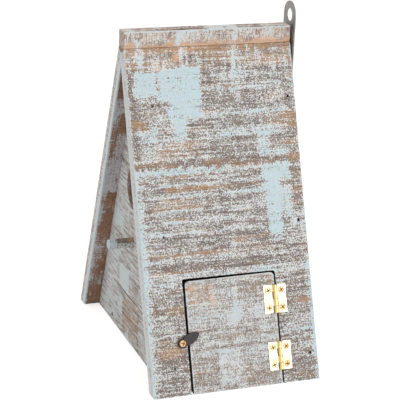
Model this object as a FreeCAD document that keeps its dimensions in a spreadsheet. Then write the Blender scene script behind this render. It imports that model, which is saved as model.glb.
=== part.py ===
import FreeCAD, Part
import os

import Sketcher
from FreeCAD import Placement, Rotation, Vector

# A-frame bird nest box with a clean-out door in its right roof panel. Millimetres, +Z up.
# The entrance gable faces -Y, the ridge runs along Y, and the origin is on the ground at the
# middle of the outline, from the perch's tip to the hanger's screws.

# Driving dimensions: alias, value, meaning. Angles are in degrees.
SIZES = [
    ("depth", 150, "roof panels and ridge bar, front to back"),
    ("base_width", 222, "over the lower outer edges of the roof panels"),
    ("peak_width", 14.7, "flat across the top of both roof panels"),
    ("tilt", 20.9, "lean of the roof panels from upright"),
    ("board", 12.5, "thickness of every board"),
    ("front_edge", -72.7, "front edge of the roof panels along Y"),
    ("gable_setback", 14.3, "front gable behind the panels' front edge"),
    ("gable_proud", 1.0, "back gable beyond the panels' back edge"),
    ("floor_play", 0.4, "floor to each roof panel and to the door"),
    ("ridge_width", 13.6, "ridge bar across"),
    ("ridge_height", 14.6, "ridge bar upwards"),
    ("ridge_arris", 0.6, "broken upper edges of the ridge bar"),
    ("entrance_radius", 18, "entrance hole"),
    ("entrance_height", 146, "entrance hole's centre above the ground"),
    ("perch_radius", 4.4, "perch dowel"),
    ("perch_height", 97.3, "perch above the ground"),
    ("perch_reach", 8.2, "perch ahead of the panels' front edge"),
    ("perch_arris", 0.8, "chamfer on the perch's tip"),
    ("doorway_front", 33.3, "doorway's front side from the panel's front edge"),
    ("doorway_back", 117, "doorway's back side from the panel's front edge"),
    ("doorway_top", 96.6, "doorway's top up the slope"),
    ("door_latch_gap", 1.8, "door to the doorway's front side, which its inner corner swings past"),
    ("door_hinge_gap", 1.1, "door to the doorway's back side"),
    ("door_top_gap", 1.4, "door to the top of the doorway"),
    ("door_foot_gap", 0.3, "door's foot above the ground"),
    ("door_corner", 2.6, "rounding of the door's upper corners"),
    ("hinge_line", 115, "hinge pins from the panel's front edge"),
    ("hinge_lift", 2.15, "hinge pins above the panel's face"),
    ("hinge_height", 24, "each hinge along its pin"),
    ("hinge_reach", 10.1, "each leaf from the pin to its edge"),
    ("hinge_upper_foot", 60.5, "upper hinge's lower end up the slope"),
    ("hinge_lower_foot", 12.2, "lower hinge's lower end up the slope"),
    ("leaf", 0.9, "hinge leaf's thickness"),
    ("leaf_corner", 0.6, "rounding of the leaf's outer corners"),
    ("barrel_radius", 1.8, "outside of the rolled knuckles"),
    ("pin_radius", 0.9, "hinge pin"),
    ("pin_play", 0.05, "pin to the knuckles that turn on it"),
    ("knuckle_gap", 0.3, "between knuckles, and knuckle to the other leaf"),
    ("web_reach", 2.6, "where a knuckle's roll starts in its leaf, from the pin"),
    ("hinge_screw_out", 6.05, "hinge screws from the pin"),
    ("hinge_screw_in", 4.6, "hinge screws from the leaf's ends"),
    ("screw_radius", 1.3, "hinge screw's shank"),
    ("screw_length", 9, "hinge screw in the wood"),
    ("screw_head", 2.7, "hinge screw's head, radius"),
    ("screw_crown", 0.5, "dome of the hinge screw's head"),
    ("button_line", 28.6, "turn button's pivot from the panel's front edge"),
    ("button_rise", 43.8, "turn button's pivot up the slope"),
    ("button_angle", 26, "turn button's tip above level"),
    ("button_lift", 0.3, "turn button above the panel's face"),
    ("button_plate", 1.8, "turn button's thickness"),
    ("button_eye", 4.1, "round end of the turn button, radius"),
    ("button_shoulder", 2.6, "where the button's leaf starts, from the pivot"),
    ("button_half", 4, "half the width of the button's leaf at its shoulder"),
    ("button_tip", 17, "pivot to tip"),
    ("button_bow", 14.4, "radius of the leaf's two bowed edges"),
    ("button_arris", 0.4, "rounded upper edge of the turn button"),
    ("pivot_radius", 1.5, "turn button screw's shank"),
    ("pivot_play", 0.08, "turn button's hole to the screw"),
    ("pivot_gap", 0.2, "turn button to the screw's head"),
    ("pivot_head", 3, "turn button screw's head, radius"),
    ("pivot_crown", 1.6, "height of that domed head"),
    ("pivot_length", 12, "turn button screw below its head"),
    ("plate_width", 24, "hanger plate"),
    ("plate_sheet", 1, "hanger plate's thickness"),
    ("plate_foot", 205, "hanger plate's lower end above the ground"),
    ("plate_corner", 3, "rounding of the hanger plate's lower corners"),
    ("hanging_hole", 5.5, "hole in the hanger plate, radius"),
    ("hanging_height", 293.9, "that hole above the ground"),
    ("hanger_low", 213, "lower hanger screw above the ground"),
    ("hanger_high", 235, "upper hanger screw above the ground"),
    ("hanger_radius", 1.6, "hanger screw's shank"),
    ("hanger_head", 3.2, "hanger screw's head, radius"),
    ("hanger_crown", 1.6, "height of that domed head"),
    ("hanger_length", 11.5, "hanger screw below its head"),
    ("nail_radius", 0.8, "nail's shank"),
    ("nail_head", 1.2, "nail's head, radius"),
    ("nail_cap", 1.2, "height of the nail's head"),
    ("nail_length", 22, "nail over all"),
    ("nail_sink", 0.6, "nail's head below the wood's face"),
    ("nail_point", 1.6, "length of a fastener's point"),
    ("nail_low", 23.5, "lowest roof nails up the slope"),
    ("nail_middle", 135.2, "middle roof nails up the slope"),
    ("nail_high", 243.2, "highest roof nails up the slope"),
    ("nail_skew", 1.2, "step by which back roof nails sit higher and front ones lower"),
    ("nail_inset", 1.4, "back roof nails ahead of the middle of the back gable"),
    ("ridge_nail_out", 3, "ridge nails from the middle plane"),
    ("floor_nail_out", 55, "floor nails from the middle plane"),
]

# Lengths worked out from the driving dimensions
HALF_BASE = "(Sizes.base_width / 2)"
HALF_PEAK = "(Sizes.peak_width / 2)"
SLOPE = "((Sizes.base_width - Sizes.peak_width) / 2 / sin(Sizes.tilt))"
PEAK_HEIGHT = "((Sizes.base_width - Sizes.peak_width) / 2 / tan(Sizes.tilt))"
GABLE_HALF = "(Sizes.base_width / 2 - Sizes.board / cos(Sizes.tilt))"
GABLE_HEIGHT = f"({GABLE_HALF} / tan(Sizes.tilt))"
BACK_FACE = "(Sizes.depth + Sizes.gable_proud)"
DOOR_FRONT = "(Sizes.doorway_front + Sizes.door_latch_gap)"
DOOR_WIDTH = f"(Sizes.doorway_back - Sizes.door_hinge_gap - {DOOR_FRONT})"
DOOR_FOOT = "(Sizes.door_foot_gap / cos(Sizes.tilt))"
KNUCKLE_PITCH = "(Sizes.hinge_height / 4)"
BARREL_CLEAR = "(Sizes.hinge_lift - Sizes.barrel_radius)"
FRONT_NAIL_LINE = "(Sizes.gable_setback + Sizes.board / 2)"
BACK_NAIL_LINE = f"({BACK_FACE} - Sizes.board / 2 - Sizes.nail_inset)"
ROOF_NAILS = [
    (line, f"(Sizes.nail_{level} {sign} {steps} * Sizes.nail_skew)")
    for line, sign in ((FRONT_NAIL_LINE, "-"), (BACK_NAIL_LINE, "+"))
    for level, steps in (("low", 0), ("middle", 2), ("high", 1))
]
# Ridge nails alternate between the two panels: side of the middle plane, share of the depth
RIDGE_NAILS = [(1, 0.2), (-1, 0.4), (1, 0.6), (-1, 0.8)]
FLOOR_NAIL_HEIGHT = "(Sizes.board / 2)"

doc = FreeCAD.newDocument("NestBox")
sheet = doc.addObject("Spreadsheet::Sheet", "Sizes")
for row, (alias, number, meaning) in enumerate(SIZES, start=1):
    sheet.set(f"A{row}", alias)
    sheet.set(f"B{row}", str(number))
    sheet.setAlias(f"B{row}", alias)
    sheet.set(f"C{row}", meaning)
doc.recompute()

pieces = []


def value(expression):
    """The number that an expression on the sheet gives now."""
    return float(sheet.evalExpression(expression))


def bind(thing, expressions):
    """Tie properties of an object to expressions on the sheet."""
    for name, expression in expressions.items():
        thing.setExpression(name, expression)


# Frames: where a piece's own axes lie. In a panel frame X is square to the panel's outer face,
# Y runs back from its front edge, and Z runs up the slope from its lower outer edge.

def set_frame(thing, x, y, z, axis, angle):
    """Place an object by expressions: its origin, and one turn about a fixed axis."""
    thing.Placement = Placement(Vector(), Rotation(axis, 1))
    bind(thing, {
        "Placement.Base.x": x,
        "Placement.Base.y": f"Sizes.front_edge + {y}",
        "Placement.Base.z": z,
        "Placement.Rotation.Angle": angle,
    })


ABOUT_X = Vector(1, 0, 0)
ABOUT_Y = Vector(0, 1, 0)
UPRIGHT = ("0", "0", "0", ABOUT_Y, "0")
RIGHT_PANEL = (HALF_BASE, "0", "0", ABOUT_Y, "-Sizes.tilt")
LEFT_PANEL = (f"-{HALF_BASE}", "0", "0", ABOUT_Y, "Sizes.tilt")


def out_of_panel(side, line, rise, lift="0"):
    """A frame on a panel's face whose Z points out of it: side 1 is the right panel, -1 the left."""
    x = f"{side} * ({HALF_BASE} - {rise} * sin(Sizes.tilt) + {lift} * cos(Sizes.tilt))"
    z = f"{rise} * cos(Sizes.tilt) + {lift} * sin(Sizes.tilt)"
    return (x, line, z, ABOUT_Y, f"{side} * (90 - Sizes.tilt)")


# Building blocks

def new_body(name, frame):
    body = doc.addObject("PartDesign::Body", name)
    set_frame(body, *frame)
    return body


def new_sketch(body, name, plane, x="0", y="0", z="0", turn=None):
    """A sketch on one of the body's own planes, shifted within it and along its normal."""
    sketch = body.newObject("Sketcher::SketchObject", name)
    support = next(f for f in body.Origin.OriginFeatures if f.Role == plane)
    sketch.AttachmentSupport = (support, [""])
    sketch.MapMode = "FlatFace"
    if turn:
        sketch.AttachmentOffset = Placement(Vector(), Rotation(Vector(0, 0, 1), 1))
        bind(sketch, {"AttachmentOffset.Rotation.Angle": turn})
    bind(sketch, {f"AttachmentOffset.Base.{axis}": e for axis, e in zip("xyz", (x, y, z))})
    return sketch


def hold(sketch, kind, element, point, expression):
    """Add a constraint whose size follows an expression."""
    where = (element,) if point is None else (element, point)
    index = sketch.addConstraint(Sketcher.Constraint(kind, *where, value(expression)))
    sketch.setExpression(f"Constraints[{index}]", expression)


def arc_between(start, end, radius):
    """The outward arc from one corner to the next of an outline that runs anticlockwise."""
    chord = end - start
    left = Vector(-chord.y, chord.x, 0).normalize()
    centre = (start + end) * 0.5 + left * (radius**2 - chord.Length**2 / 4) ** 0.5
    circle = Part.Circle(centre, Vector(0, 0, 1), radius)
    return Part.ArcOfCircle(circle, circle.parameter(start), circle.parameter(end))


def add_outline(sketch, corners):
    """A closed outline through corners (x, y), or (x, y, radius) where the next side is an arc."""
    first = sketch.GeometryCount
    count = len(corners)
    places = [Vector(value(corner[0]), value(corner[1]), 0) for corner in corners]
    for i, corner in enumerate(corners):
        start, end = places[i], places[(i + 1) % count]
        if len(corner) == 3:
            sketch.addGeometry(arc_between(start, end, value(corner[2])))
        else:
            sketch.addGeometry(Part.LineSegment(start, end))
    for i, corner in enumerate(corners):
        following = first + (i + 1) % count
        sketch.addConstraint(Sketcher.Constraint("Coincident", first + i, 2, following, 1))
    for i, corner in enumerate(corners):
        hold(sketch, "DistanceX", first + i, 1, corner[0])
        hold(sketch, "DistanceY", first + i, 1, corner[1])
        if len(corner) == 3:
            hold(sketch, "Radius", first + i, None, corner[2])


def add_circle(sketch, x, y, radius):
    centre = Vector(value(x), value(y), 0)
    index = sketch.addGeometry(Part.Circle(centre, Vector(0, 0, 1), value(radius)))
    hold(sketch, "DistanceX", index, 3, x)
    hold(sketch, "DistanceY", index, 3, y)
    hold(sketch, "Radius", index, None, radius)


def rectangle(x0, y0, x1, y1):
    return [(x0, y0), (x1, y0), (x1, y1), (x0, y1)]


def new_pad(body, name, sketch, length, backwards=False):
    pad = body.newObject("PartDesign::Pad", name)
    pad.Profile = sketch
    pad.Reversed = backwards
    bind(pad, {"Length": length})
    doc.recompute()
    return pad


def new_pocket(body, name, sketch, depth=None, backwards=False):
    """Cut a sketch away, to a depth or right through, and make sure that it cut something."""
    before = body.Shape.Volume
    pocket = body.newObject("PartDesign::Pocket", name)
    pocket.Profile = sketch
    pocket.Reversed = backwards
    if depth:
        bind(pocket, {"Length": depth})
    else:
        pocket.Type = "ThroughAll"
        pocket.Midplane = True
    doc.recompute()
    if body.Shape.Volume >= before:
        raise RuntimeError(f"{name} in {body.Name} cuts nothing")
    return pocket


def dress(body, kind, name, feature, size_name, size, wanted):
    """Fillet or chamfer those edges of a feature that a test picks."""
    edges = [f"Edge{i}" for i, edge in enumerate(feature.Shape.Edges, start=1) if wanted(edge)]
    dressed = body.newObject(kind, name)
    dressed.Base = (feature, edges)
    bind(dressed, {size_name: size})
    doc.recompute()


def turned(name, frame, corners):
    """A piece turned about its own Z axis from half of its outline."""
    body = new_body(name, frame)
    sketch = new_sketch(body, f"{name}_outline", "XZ_Plane")
    add_outline(sketch, corners)
    revolution = body.newObject("PartDesign::Revolution", f"{name}_turning")
    revolution.Profile = sketch
    revolution.ReferenceAxis = (sketch, ["V_Axis"])
    revolution.Angle = 360
    return body


def together(name, members):
    """Several solids as one object."""
    group = doc.addObject("Part::Compound", name)
    group.Links = members
    return group


def bored(name, blank, *tools):
    """A piece with holes that its own fasteners or dowels fill."""
    cut = doc.addObject("Part::Cut", name)
    cut.Base = blank
    cut.Tool = tools[0] if len(tools) == 1 else together(f"{name}_fillers", list(tools))
    return finished(cut)


def finished(thing):
    pieces.append(thing)
    thing.Label = thing.Name
    return thing


# Fasteners. Each stands on its own Z axis with its point down.

def nail(name, frame):
    shank, head = "Sizes.nail_radius", "Sizes.nail_head"
    top, neck = "-Sizes.nail_sink", "-Sizes.nail_sink - Sizes.nail_cap"
    point = "-Sizes.nail_sink - Sizes.nail_length"
    return turned(name, frame, [
        ("0", point),
        (shank, f"{point} + Sizes.nail_point"),
        (shank, neck),
        (head, neck),
        (head, top),
        ("0", top),
    ])


def domed(radius, height):
    """Radius of the dome that has this base radius and height."""
    return f"({radius}^2 + {height}^2) / (2 * {height})"


def round_head_screw(name, frame, shank, length, head, crown):
    """Zero on its axis is the underside of the head."""
    return turned(name, frame, [
        ("0", f"-{length}"),
        (shank, f"Sizes.nail_point - {length}"),
        (shank, "0"),
        (head, "0", domed(head, crown)),
        ("0", crown),
    ])


def hinge_screw(name, frame):
    """A raised countersunk screw: zero on its axis is the wood's face, under the leaf."""
    shank, head = "Sizes.screw_radius", "Sizes.screw_head"
    return turned(name, frame, [
        ("0", "-Sizes.screw_length"),
        (shank, "Sizes.nail_point - Sizes.screw_length"),
        (shank, "0"),
        (head, "Sizes.leaf", domed(head, "Sizes.screw_crown")),
        ("0", "Sizes.leaf + Sizes.screw_crown"),
    ])


def roof_nails(name, side):
    nails = [
        nail(f"{name}_{i}", out_of_panel(side, line, rise))
        for i, (line, rise) in enumerate(ROOF_NAILS, start=1)
    ]
    return finished(together(name, nails))


def ridge_nail_place(side, share):
    return f"{side} * Sizes.ridge_nail_out", f"{share} * Sizes.depth"


def make_ridge_nails():
    top = f"{PEAK_HEIGHT} + Sizes.ridge_height"
    nails = []
    for i, (side, share) in enumerate(RIDGE_NAILS, start=1):
        x, y = ridge_nail_place(side, share)
        nails.append(nail(f"ridge_nail_{i}", (x, y, top, ABOUT_Y, "0")))
    return finished(together("ridge_nails", nails))


def make_floor_nails():
    """Two through each gable into the floor's ends."""
    nails = []
    for face, angle in (("Sizes.gable_setback", "90"), (BACK_FACE, "-90")):
        for side in (-1, 1):
            frame = (f"{side} * Sizes.floor_nail_out", face, FLOOR_NAIL_HEIGHT, ABOUT_X, angle)
            nails.append(nail(f"floor_nail_{len(nails) + 1}", frame))
    return finished(together("floor_nails", nails))


def leaf_screws(name, side):
    """The four screws on one side of the hinge pins: side -1 is the door, 1 the panel."""
    line = f"Sizes.hinge_line + {side} * Sizes.hinge_screw_out"
    screws = []
    for foot in ("Sizes.hinge_lower_foot", "Sizes.hinge_upper_foot"):
        for rise in ("Sizes.hinge_screw_in", "Sizes.hinge_height - Sizes.hinge_screw_in"):
            frame = out_of_panel(1, line, f"({foot} + {rise})")
            screws.append(hinge_screw(f"{name}_{len(screws) + 1}", frame))
    return finished(together(name, screws))


def make_button_screw():
    lift = "(Sizes.button_lift + Sizes.button_plate + Sizes.pivot_gap)"
    frame = out_of_panel(1, "Sizes.button_line", "Sizes.button_rise", lift)
    return finished(round_head_screw(
        "turn_button_screw", frame, "Sizes.pivot_radius", "Sizes.pivot_length",
        "Sizes.pivot_head", "Sizes.pivot_crown",
    ))


def make_hanger_screws():
    face = f"{BACK_FACE} + Sizes.plate_sheet"
    screws = [
        round_head_screw(
            f"hanger_screw_{level}", ("0", face, f"Sizes.hanger_{level}", ABOUT_X, "-90"),
            "Sizes.hanger_radius", "Sizes.hanger_length", "Sizes.hanger_head", "Sizes.hanger_crown",
        )
        for level in ("low", "high")
    ]
    return finished(together("hanger_screws", screws))


# Boards

def punch(body, plane, marks, z="0", backwards=False):
    """Shallow round recesses over sunk nail heads."""
    sketch = new_sketch(body, f"{body.Name}_marks", plane, z=z)
    for x, y in marks:
        add_circle(sketch, x, y, "Sizes.nail_head")
    new_pocket(body, f"{body.Name}_recesses", sketch, "Sizes.nail_sink", backwards)


def roof_board(name, side):
    """A leaning board, mitred against the other at the top and cut level at the foot."""
    body = new_body(name, RIGHT_PANEL if side > 0 else LEFT_PANEL)
    sketch = new_sketch(body, f"{name}_section", "XZ_Plane")
    inner = f"{-side} * Sizes.board"
    add_outline(sketch, [
        ("0", "0"),
        ("0", SLOPE),
        (f"{-side} * {HALF_PEAK} * cos(Sizes.tilt)", f"{SLOPE} + {HALF_PEAK} * sin(Sizes.tilt)"),
        (inner, f"({HALF_BASE} - Sizes.board * cos(Sizes.tilt)) / sin(Sizes.tilt)"),
        (inner, "Sizes.board * tan(Sizes.tilt)"),
    ])
    new_pad(body, f"{name}_length", sketch, "Sizes.depth", backwards=True)
    punch(body, "YZ_Plane", ROOF_NAILS, backwards=side < 0)
    return body


def right_board():
    body = roof_board("right_board", 1)
    sketch = new_sketch(body, "doorway_outline", "YZ_Plane")
    below = "-Sizes.board"
    add_outline(sketch, rectangle("Sizes.doorway_front", below, "Sizes.doorway_back", "Sizes.doorway_top"))
    new_pocket(body, "doorway", sketch)
    return body


def door_board():
    """The piece sawn out of the right panel, with two round corners and its foot cut level."""
    body = new_body("door_board", RIGHT_PANEL)
    sketch = new_sketch(body, "door_section", "XZ_Plane", z=f"-{DOOR_FRONT}")
    top = "Sizes.doorway_top - Sizes.door_top_gap"
    add_outline(sketch, [
        ("0", DOOR_FOOT),
        ("0", top),
        ("-Sizes.board", top),
        ("-Sizes.board", f"{DOOR_FOOT} + Sizes.board * tan(Sizes.tilt)"),
    ])
    pad = new_pad(body, "door_width", sketch, DOOR_WIDTH, backwards=True)
    highest = pad.Shape.BoundBox.ZMax
    dress(body, "PartDesign::Fillet", "door_corners", pad, "Radius", "Sizes.door_corner",
          lambda edge: edge.BoundBox.ZMin > highest - 0.01 and edge.BoundBox.YLength < 0.01)
    return body


def gable_board(name, face, entrance=False):
    """A triangle that fills the space between the panels, from its front face backwards."""
    body = new_body(name, UPRIGHT)
    sketch = new_sketch(body, f"{name}_outline", "XZ_Plane", z=f"-{face}")
    add_outline(sketch, [(f"-{GABLE_HALF}", "0"), (GABLE_HALF, "0"), ("0", GABLE_HEIGHT)])
    if entrance:
        add_circle(sketch, "0", "Sizes.entrance_height", "Sizes.entrance_radius")
    new_pad(body, f"{name}_thickness", sketch, "Sizes.board", backwards=True)
    marks = [(f"{side} * Sizes.floor_nail_out", FLOOR_NAIL_HEIGHT) for side in (-1, 1)]
    outer = face if entrance else BACK_FACE
    punch(body, "XZ_Plane", marks, z=f"-{outer}", backwards=not entrance)
    return body


def floor_blank():
    """The floor, with its sides bevelled to the lean of the panels."""
    body = new_body("floor_blank", UPRIGHT)
    front = "(Sizes.gable_setback + Sizes.board)"
    sketch = new_sketch(body, "floor_section", "XZ_Plane", z=f"-{front}")
    low = f"({GABLE_HALF} - Sizes.floor_play / cos(Sizes.tilt))"
    high = f"({low} - Sizes.board * tan(Sizes.tilt))"
    add_outline(sketch, [
        (f"-{low}", "0"), (low, "0"), (high, "Sizes.board"), (f"-{high}", "Sizes.board"),
    ])
    new_pad(body, "floor_length", sketch, f"{BACK_FACE} - Sizes.board - {front}", backwards=True)
    return body


def ridge_blank():
    body = new_body("ridge_blank", UPRIGHT)
    sketch = new_sketch(body, "ridge_section", "XZ_Plane")
    half, top = "(Sizes.ridge_width / 2)", f"({PEAK_HEIGHT} + Sizes.ridge_height)"
    add_outline(sketch, rectangle(f"-{half}", PEAK_HEIGHT, half, top))
    pad = new_pad(body, "ridge_length", sketch, "Sizes.depth", backwards=True)
    highest = pad.Shape.BoundBox.ZMax
    dress(body, "PartDesign::Chamfer", "ridge_edges", pad, "Size", "Sizes.ridge_arris",
          lambda edge: edge.BoundBox.ZMin > highest - 1 and edge.BoundBox.YLength > 1)
    marks = [ridge_nail_place(*nail_place) for nail_place in RIDGE_NAILS]
    punch(body, "XY_Plane", marks, z=top)
    return body


def make_perch():
    """A dowel through the front gable, flush with its inner face."""
    body = new_body("perch", UPRIGHT)
    sketch = new_sketch(body, "perch_section", "XZ_Plane", z="Sizes.perch_reach")
    add_circle(sketch, "0", "Sizes.perch_height", "Sizes.perch_radius")
    length = "Sizes.perch_reach + Sizes.gable_setback + Sizes.board"
    pad = new_pad(body, "perch_length", sketch, length, backwards=True)
    foremost = pad.Shape.BoundBox.YMin
    dress(body, "PartDesign::Chamfer", "perch_tip", pad, "Size", "Sizes.perch_arris",
          lambda edge: edge.BoundBox.YMax < foremost + 1)
    return finished(body)


# Hinges: two leaves with four rolled knuckles between them, turn about, on one pin

def leaf_blank(name, foot, side):
    """One leaf: side -1 on the door has the first and third knuckles from the top, 1 the others."""
    body = new_body(name, RIGHT_PANEL)
    at_pin = {"plane": "XY_Plane", "y": "Sizes.hinge_line"}
    edge, root = f"{side} * Sizes.hinge_reach", f"{side} * Sizes.web_reach"
    sketch = new_sketch(body, f"{name}_plate_section", z=foot, **at_pin)
    add_outline(sketch, rectangle("0", root, "Sizes.leaf", edge))
    plate = new_pad(body, f"{name}_plate", sketch, "Sizes.hinge_height")
    outer = plate.Shape.BoundBox.YMax if side > 0 else plate.Shape.BoundBox.YMin
    dress(body, "PartDesign::Fillet", f"{name}_corners", plate, "Radius", "Sizes.leaf_corner",
          lambda edge: edge.BoundBox.YLength < 0.01 and abs(edge.BoundBox.YMin - outer) < 0.01
          and edge.Length < 2)
    start = f"{foot} + Sizes.knuckle_gap / 2 + {0 if side > 0 else 1} * {KNUCKLE_PITCH}"
    length = f"{KNUCKLE_PITCH} - Sizes.knuckle_gap"
    barrel = new_sketch(body, f"{name}_barrel_section", z=start, **at_pin)
    add_circle(barrel, "Sizes.hinge_lift", "0", "Sizes.barrel_radius")
    knuckle = new_pad(body, f"{name}_knuckle", barrel, length)
    web = new_sketch(body, f"{name}_web_section", z=start, **at_pin)
    add_outline(web, [
        ("0", root), ("Sizes.leaf", root), ("Sizes.hinge_lift", "0"), (BARREL_CLEAR, "0"),
    ])
    roll = new_pad(body, f"{name}_roll", web, length)
    pattern = body.newObject("PartDesign::LinearPattern", f"{name}_knuckles")
    pattern.Originals = [knuckle, roll]
    pattern.Direction = (barrel, ["N_Axis"])
    pattern.Occurrences = 2
    bind(pattern, {"Length": f"2 * {KNUCKLE_PITCH}"})
    body.Tip = pattern
    doc.recompute()
    bore = new_sketch(body, f"{name}_bore_section", z=foot, **at_pin)
    play = "0" if side > 0 else "Sizes.pin_play"
    add_circle(bore, "Sizes.hinge_lift", "0", f"Sizes.pin_radius + {play}")
    new_pocket(body, f"{name}_bore", bore)
    return body


def hinge_pin(name, foot):
    pin = doc.addObject("Part::Cylinder", name)
    bind(pin, {"Radius": "Sizes.pin_radius", "Height": "Sizes.hinge_height"})
    x, y, z, _, _ = out_of_panel(1, "Sizes.hinge_line", foot, "Sizes.hinge_lift")
    set_frame(pin, x, y, z, ABOUT_Y, "-Sizes.tilt")
    return finished(pin)


def make_hinge(level, frame_screws, door_screws):
    foot = f"Sizes.hinge_{level}_foot"
    hinge_pin(f"hinge_{level}_pin", foot)
    for side, owner, screws in ((1, "frame", frame_screws), (-1, "door", door_screws)):
        name = f"hinge_{level}_{owner}_leaf"
        bored(name, leaf_blank(f"{name}_blank", foot, side), screws)


# Latch and hanger

def make_turn_button():
    """A round eye on the screw and a bowed leaf that reaches over the door's edge."""
    body = new_body("turn_button", RIGHT_PANEL)
    flat = {
        "plane": "YZ_Plane", "x": "Sizes.button_line", "y": "Sizes.button_rise",
        "z": "Sizes.button_lift", "turn": "Sizes.button_angle",
    }
    leaf = new_sketch(body, "button_leaf_outline", **flat)
    add_outline(leaf, [
        ("Sizes.button_shoulder", "-Sizes.button_half", "Sizes.button_bow"),
        ("Sizes.button_tip", "0", "Sizes.button_bow"),
        ("Sizes.button_shoulder", "Sizes.button_half"),
    ])
    new_pad(body, "button_leaf", leaf, "Sizes.button_plate")
    eye = new_sketch(body, "button_eye_outline", **flat)
    add_circle(eye, "0", "0", "Sizes.button_eye")
    pad = new_pad(body, "button_eye", eye, "Sizes.button_plate")
    top = value("Sizes.button_lift + Sizes.button_plate")
    dress(body, "PartDesign::Chamfer", "button_edge", pad, "Size", "Sizes.button_arris",
          lambda edge: edge.BoundBox.XMin > top - 0.01)
    hole = new_sketch(body, "button_hole_outline", **flat)
    add_circle(hole, "0", "0", "Sizes.pivot_radius + Sizes.pivot_play")
    new_pocket(body, "button_hole", hole)
    return finished(body)


def plate_blank():
    """A strap up the back gable that ends in a round eye above the ridge."""
    body = new_body("plate_blank", UPRIGHT)
    back = {"plane": "XZ_Plane", "z": f"-{BACK_FACE}"}
    half = "(Sizes.plate_width / 2)"
    strap = new_sketch(body, "strap_outline", **back)
    add_outline(strap, rectangle(f"-{half}", "Sizes.plate_foot", half, "Sizes.hanging_height"))
    pad = new_pad(body, "strap", strap, "Sizes.plate_sheet", backwards=True)
    lowest = pad.Shape.BoundBox.ZMin
    dress(body, "PartDesign::Fillet", "strap_corners", pad, "Radius", "Sizes.plate_corner",
          lambda edge: edge.BoundBox.ZMax < lowest + 0.01 and edge.BoundBox.XLength < 0.01)
    eye = new_sketch(body, "plate_eye_outline", **back)
    add_circle(eye, "0", "Sizes.hanging_height", half)
    new_pad(body, "plate_eye", eye, "Sizes.plate_sheet", backwards=True)
    hole = new_sketch(body, "hanging_hole_outline", **back)
    add_circle(hole, "0", "Sizes.hanging_height", "Sizes.hanging_hole")
    new_pocket(body, "hanging_hole_cut", hole)
    return body


# The assembly: fasteners first, because each cuts its own hole
right_nails = roof_nails("right_panel_nails", 1)
left_nails = roof_nails("left_panel_nails", -1)
ridge_nails = make_ridge_nails()
floor_nails = make_floor_nails()
frame_screws = leaf_screws("hinge_frame_screws", 1)
door_screws = leaf_screws("hinge_door_screws", -1)
button_screw = make_button_screw()
hanger_screws = make_hanger_screws()
perch = make_perch()

bored("roof_panel_right", right_board(), right_nails, ridge_nails, frame_screws, button_screw)
bored("roof_panel_left", roof_board("left_board", -1), left_nails, ridge_nails)
front_blank = gable_board("front_gable_blank", "Sizes.gable_setback", entrance=True)
bored("front_gable", front_blank, right_nails, left_nails, floor_nails, perch)
back_blank = gable_board("back_gable_blank", f"({BACK_FACE} - Sizes.board)")
bored("back_gable", back_blank, right_nails, left_nails, floor_nails, hanger_screws)
bored("floor_board", floor_blank(), floor_nails)
bored("ridge_bar", ridge_blank(), ridge_nails)
bored("door", door_board(), door_screws)
for level in ("upper", "lower"):
    make_hinge(level, frame_screws, door_screws)
make_turn_button()
bored("hanger_plate", plate_blank(), hanger_screws)
doc.recompute()

# Nothing is written unless every object is sound
for thing in doc.Objects:
    if {"Invalid", "Error"} & set(thing.State):
        raise RuntimeError(f"{thing.Name} failed: {thing.State}")
for piece in pieces:
    if piece.Shape.isNull() or not piece.Shape.isValid():
        raise RuntimeError(f"{piece.Label} has no valid shape")

os.makedirs("parts", exist_ok=True)
for piece in pieces:
    piece.Shape.exportStep(f"parts/{piece.Label}.step")
    print(f"{piece.Label}: {len(piece.Shape.Solids)} solids, {piece.Shape.Volume:.1f} mm3")
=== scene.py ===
import math

import bmesh
import bpy
import numpy as np
from mathutils import Matrix, Vector


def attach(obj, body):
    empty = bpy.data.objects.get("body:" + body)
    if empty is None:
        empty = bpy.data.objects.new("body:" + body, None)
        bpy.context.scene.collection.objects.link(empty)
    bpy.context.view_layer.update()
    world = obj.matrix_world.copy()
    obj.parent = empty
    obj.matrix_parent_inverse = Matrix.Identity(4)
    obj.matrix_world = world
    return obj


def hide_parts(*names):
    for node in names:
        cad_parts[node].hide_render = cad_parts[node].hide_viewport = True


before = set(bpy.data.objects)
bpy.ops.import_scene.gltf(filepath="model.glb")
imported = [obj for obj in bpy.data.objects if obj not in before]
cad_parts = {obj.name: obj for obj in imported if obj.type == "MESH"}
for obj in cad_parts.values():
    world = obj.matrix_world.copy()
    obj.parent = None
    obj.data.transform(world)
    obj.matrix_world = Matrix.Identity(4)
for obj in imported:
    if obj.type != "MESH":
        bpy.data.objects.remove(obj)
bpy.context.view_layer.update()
scene = bpy.context.scene

# Sizes in millimetres, as in the CAD model
MM = 0.001
TILT = math.radians(20.9)
COS, SIN, TAN = math.cos(TILT), math.sin(TILT), math.tan(TILT)
HALF_BASE = 111.0
HALF_PEAK = 7.35
FRONT = -72.7
DEPTH = 150.0
BOARD = 12.5
SLOPE = (HALF_BASE - HALF_PEAK) / SIN
PEAK = (HALF_BASE - HALF_PEAK) / TAN
GABLE_SETBACK = 14.3
GABLE_PROUD = 1.0
GABLE_HALF = HALF_BASE - BOARD / COS
GABLE_HEIGHT = GABLE_HALF / TAN
FLOOR_PLAY = 0.4
RIDGE_HALF = 6.8
RIDGE_HEIGHT = 14.6
ENTRANCE_RADIUS = 18.0
ENTRANCE_HEIGHT = 146.0
PERCH_RADIUS = 4.4
PERCH_HEIGHT = 97.3
PERCH_TIP = -80.9
# On the near panel's face: from, to and top of the doorway, and from, to, foot and top of the door
DOORWAY = (33.3, 117.0, 96.6)
DOOR = (35.1, 115.9, 0.3 / COS, 95.2)
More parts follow.
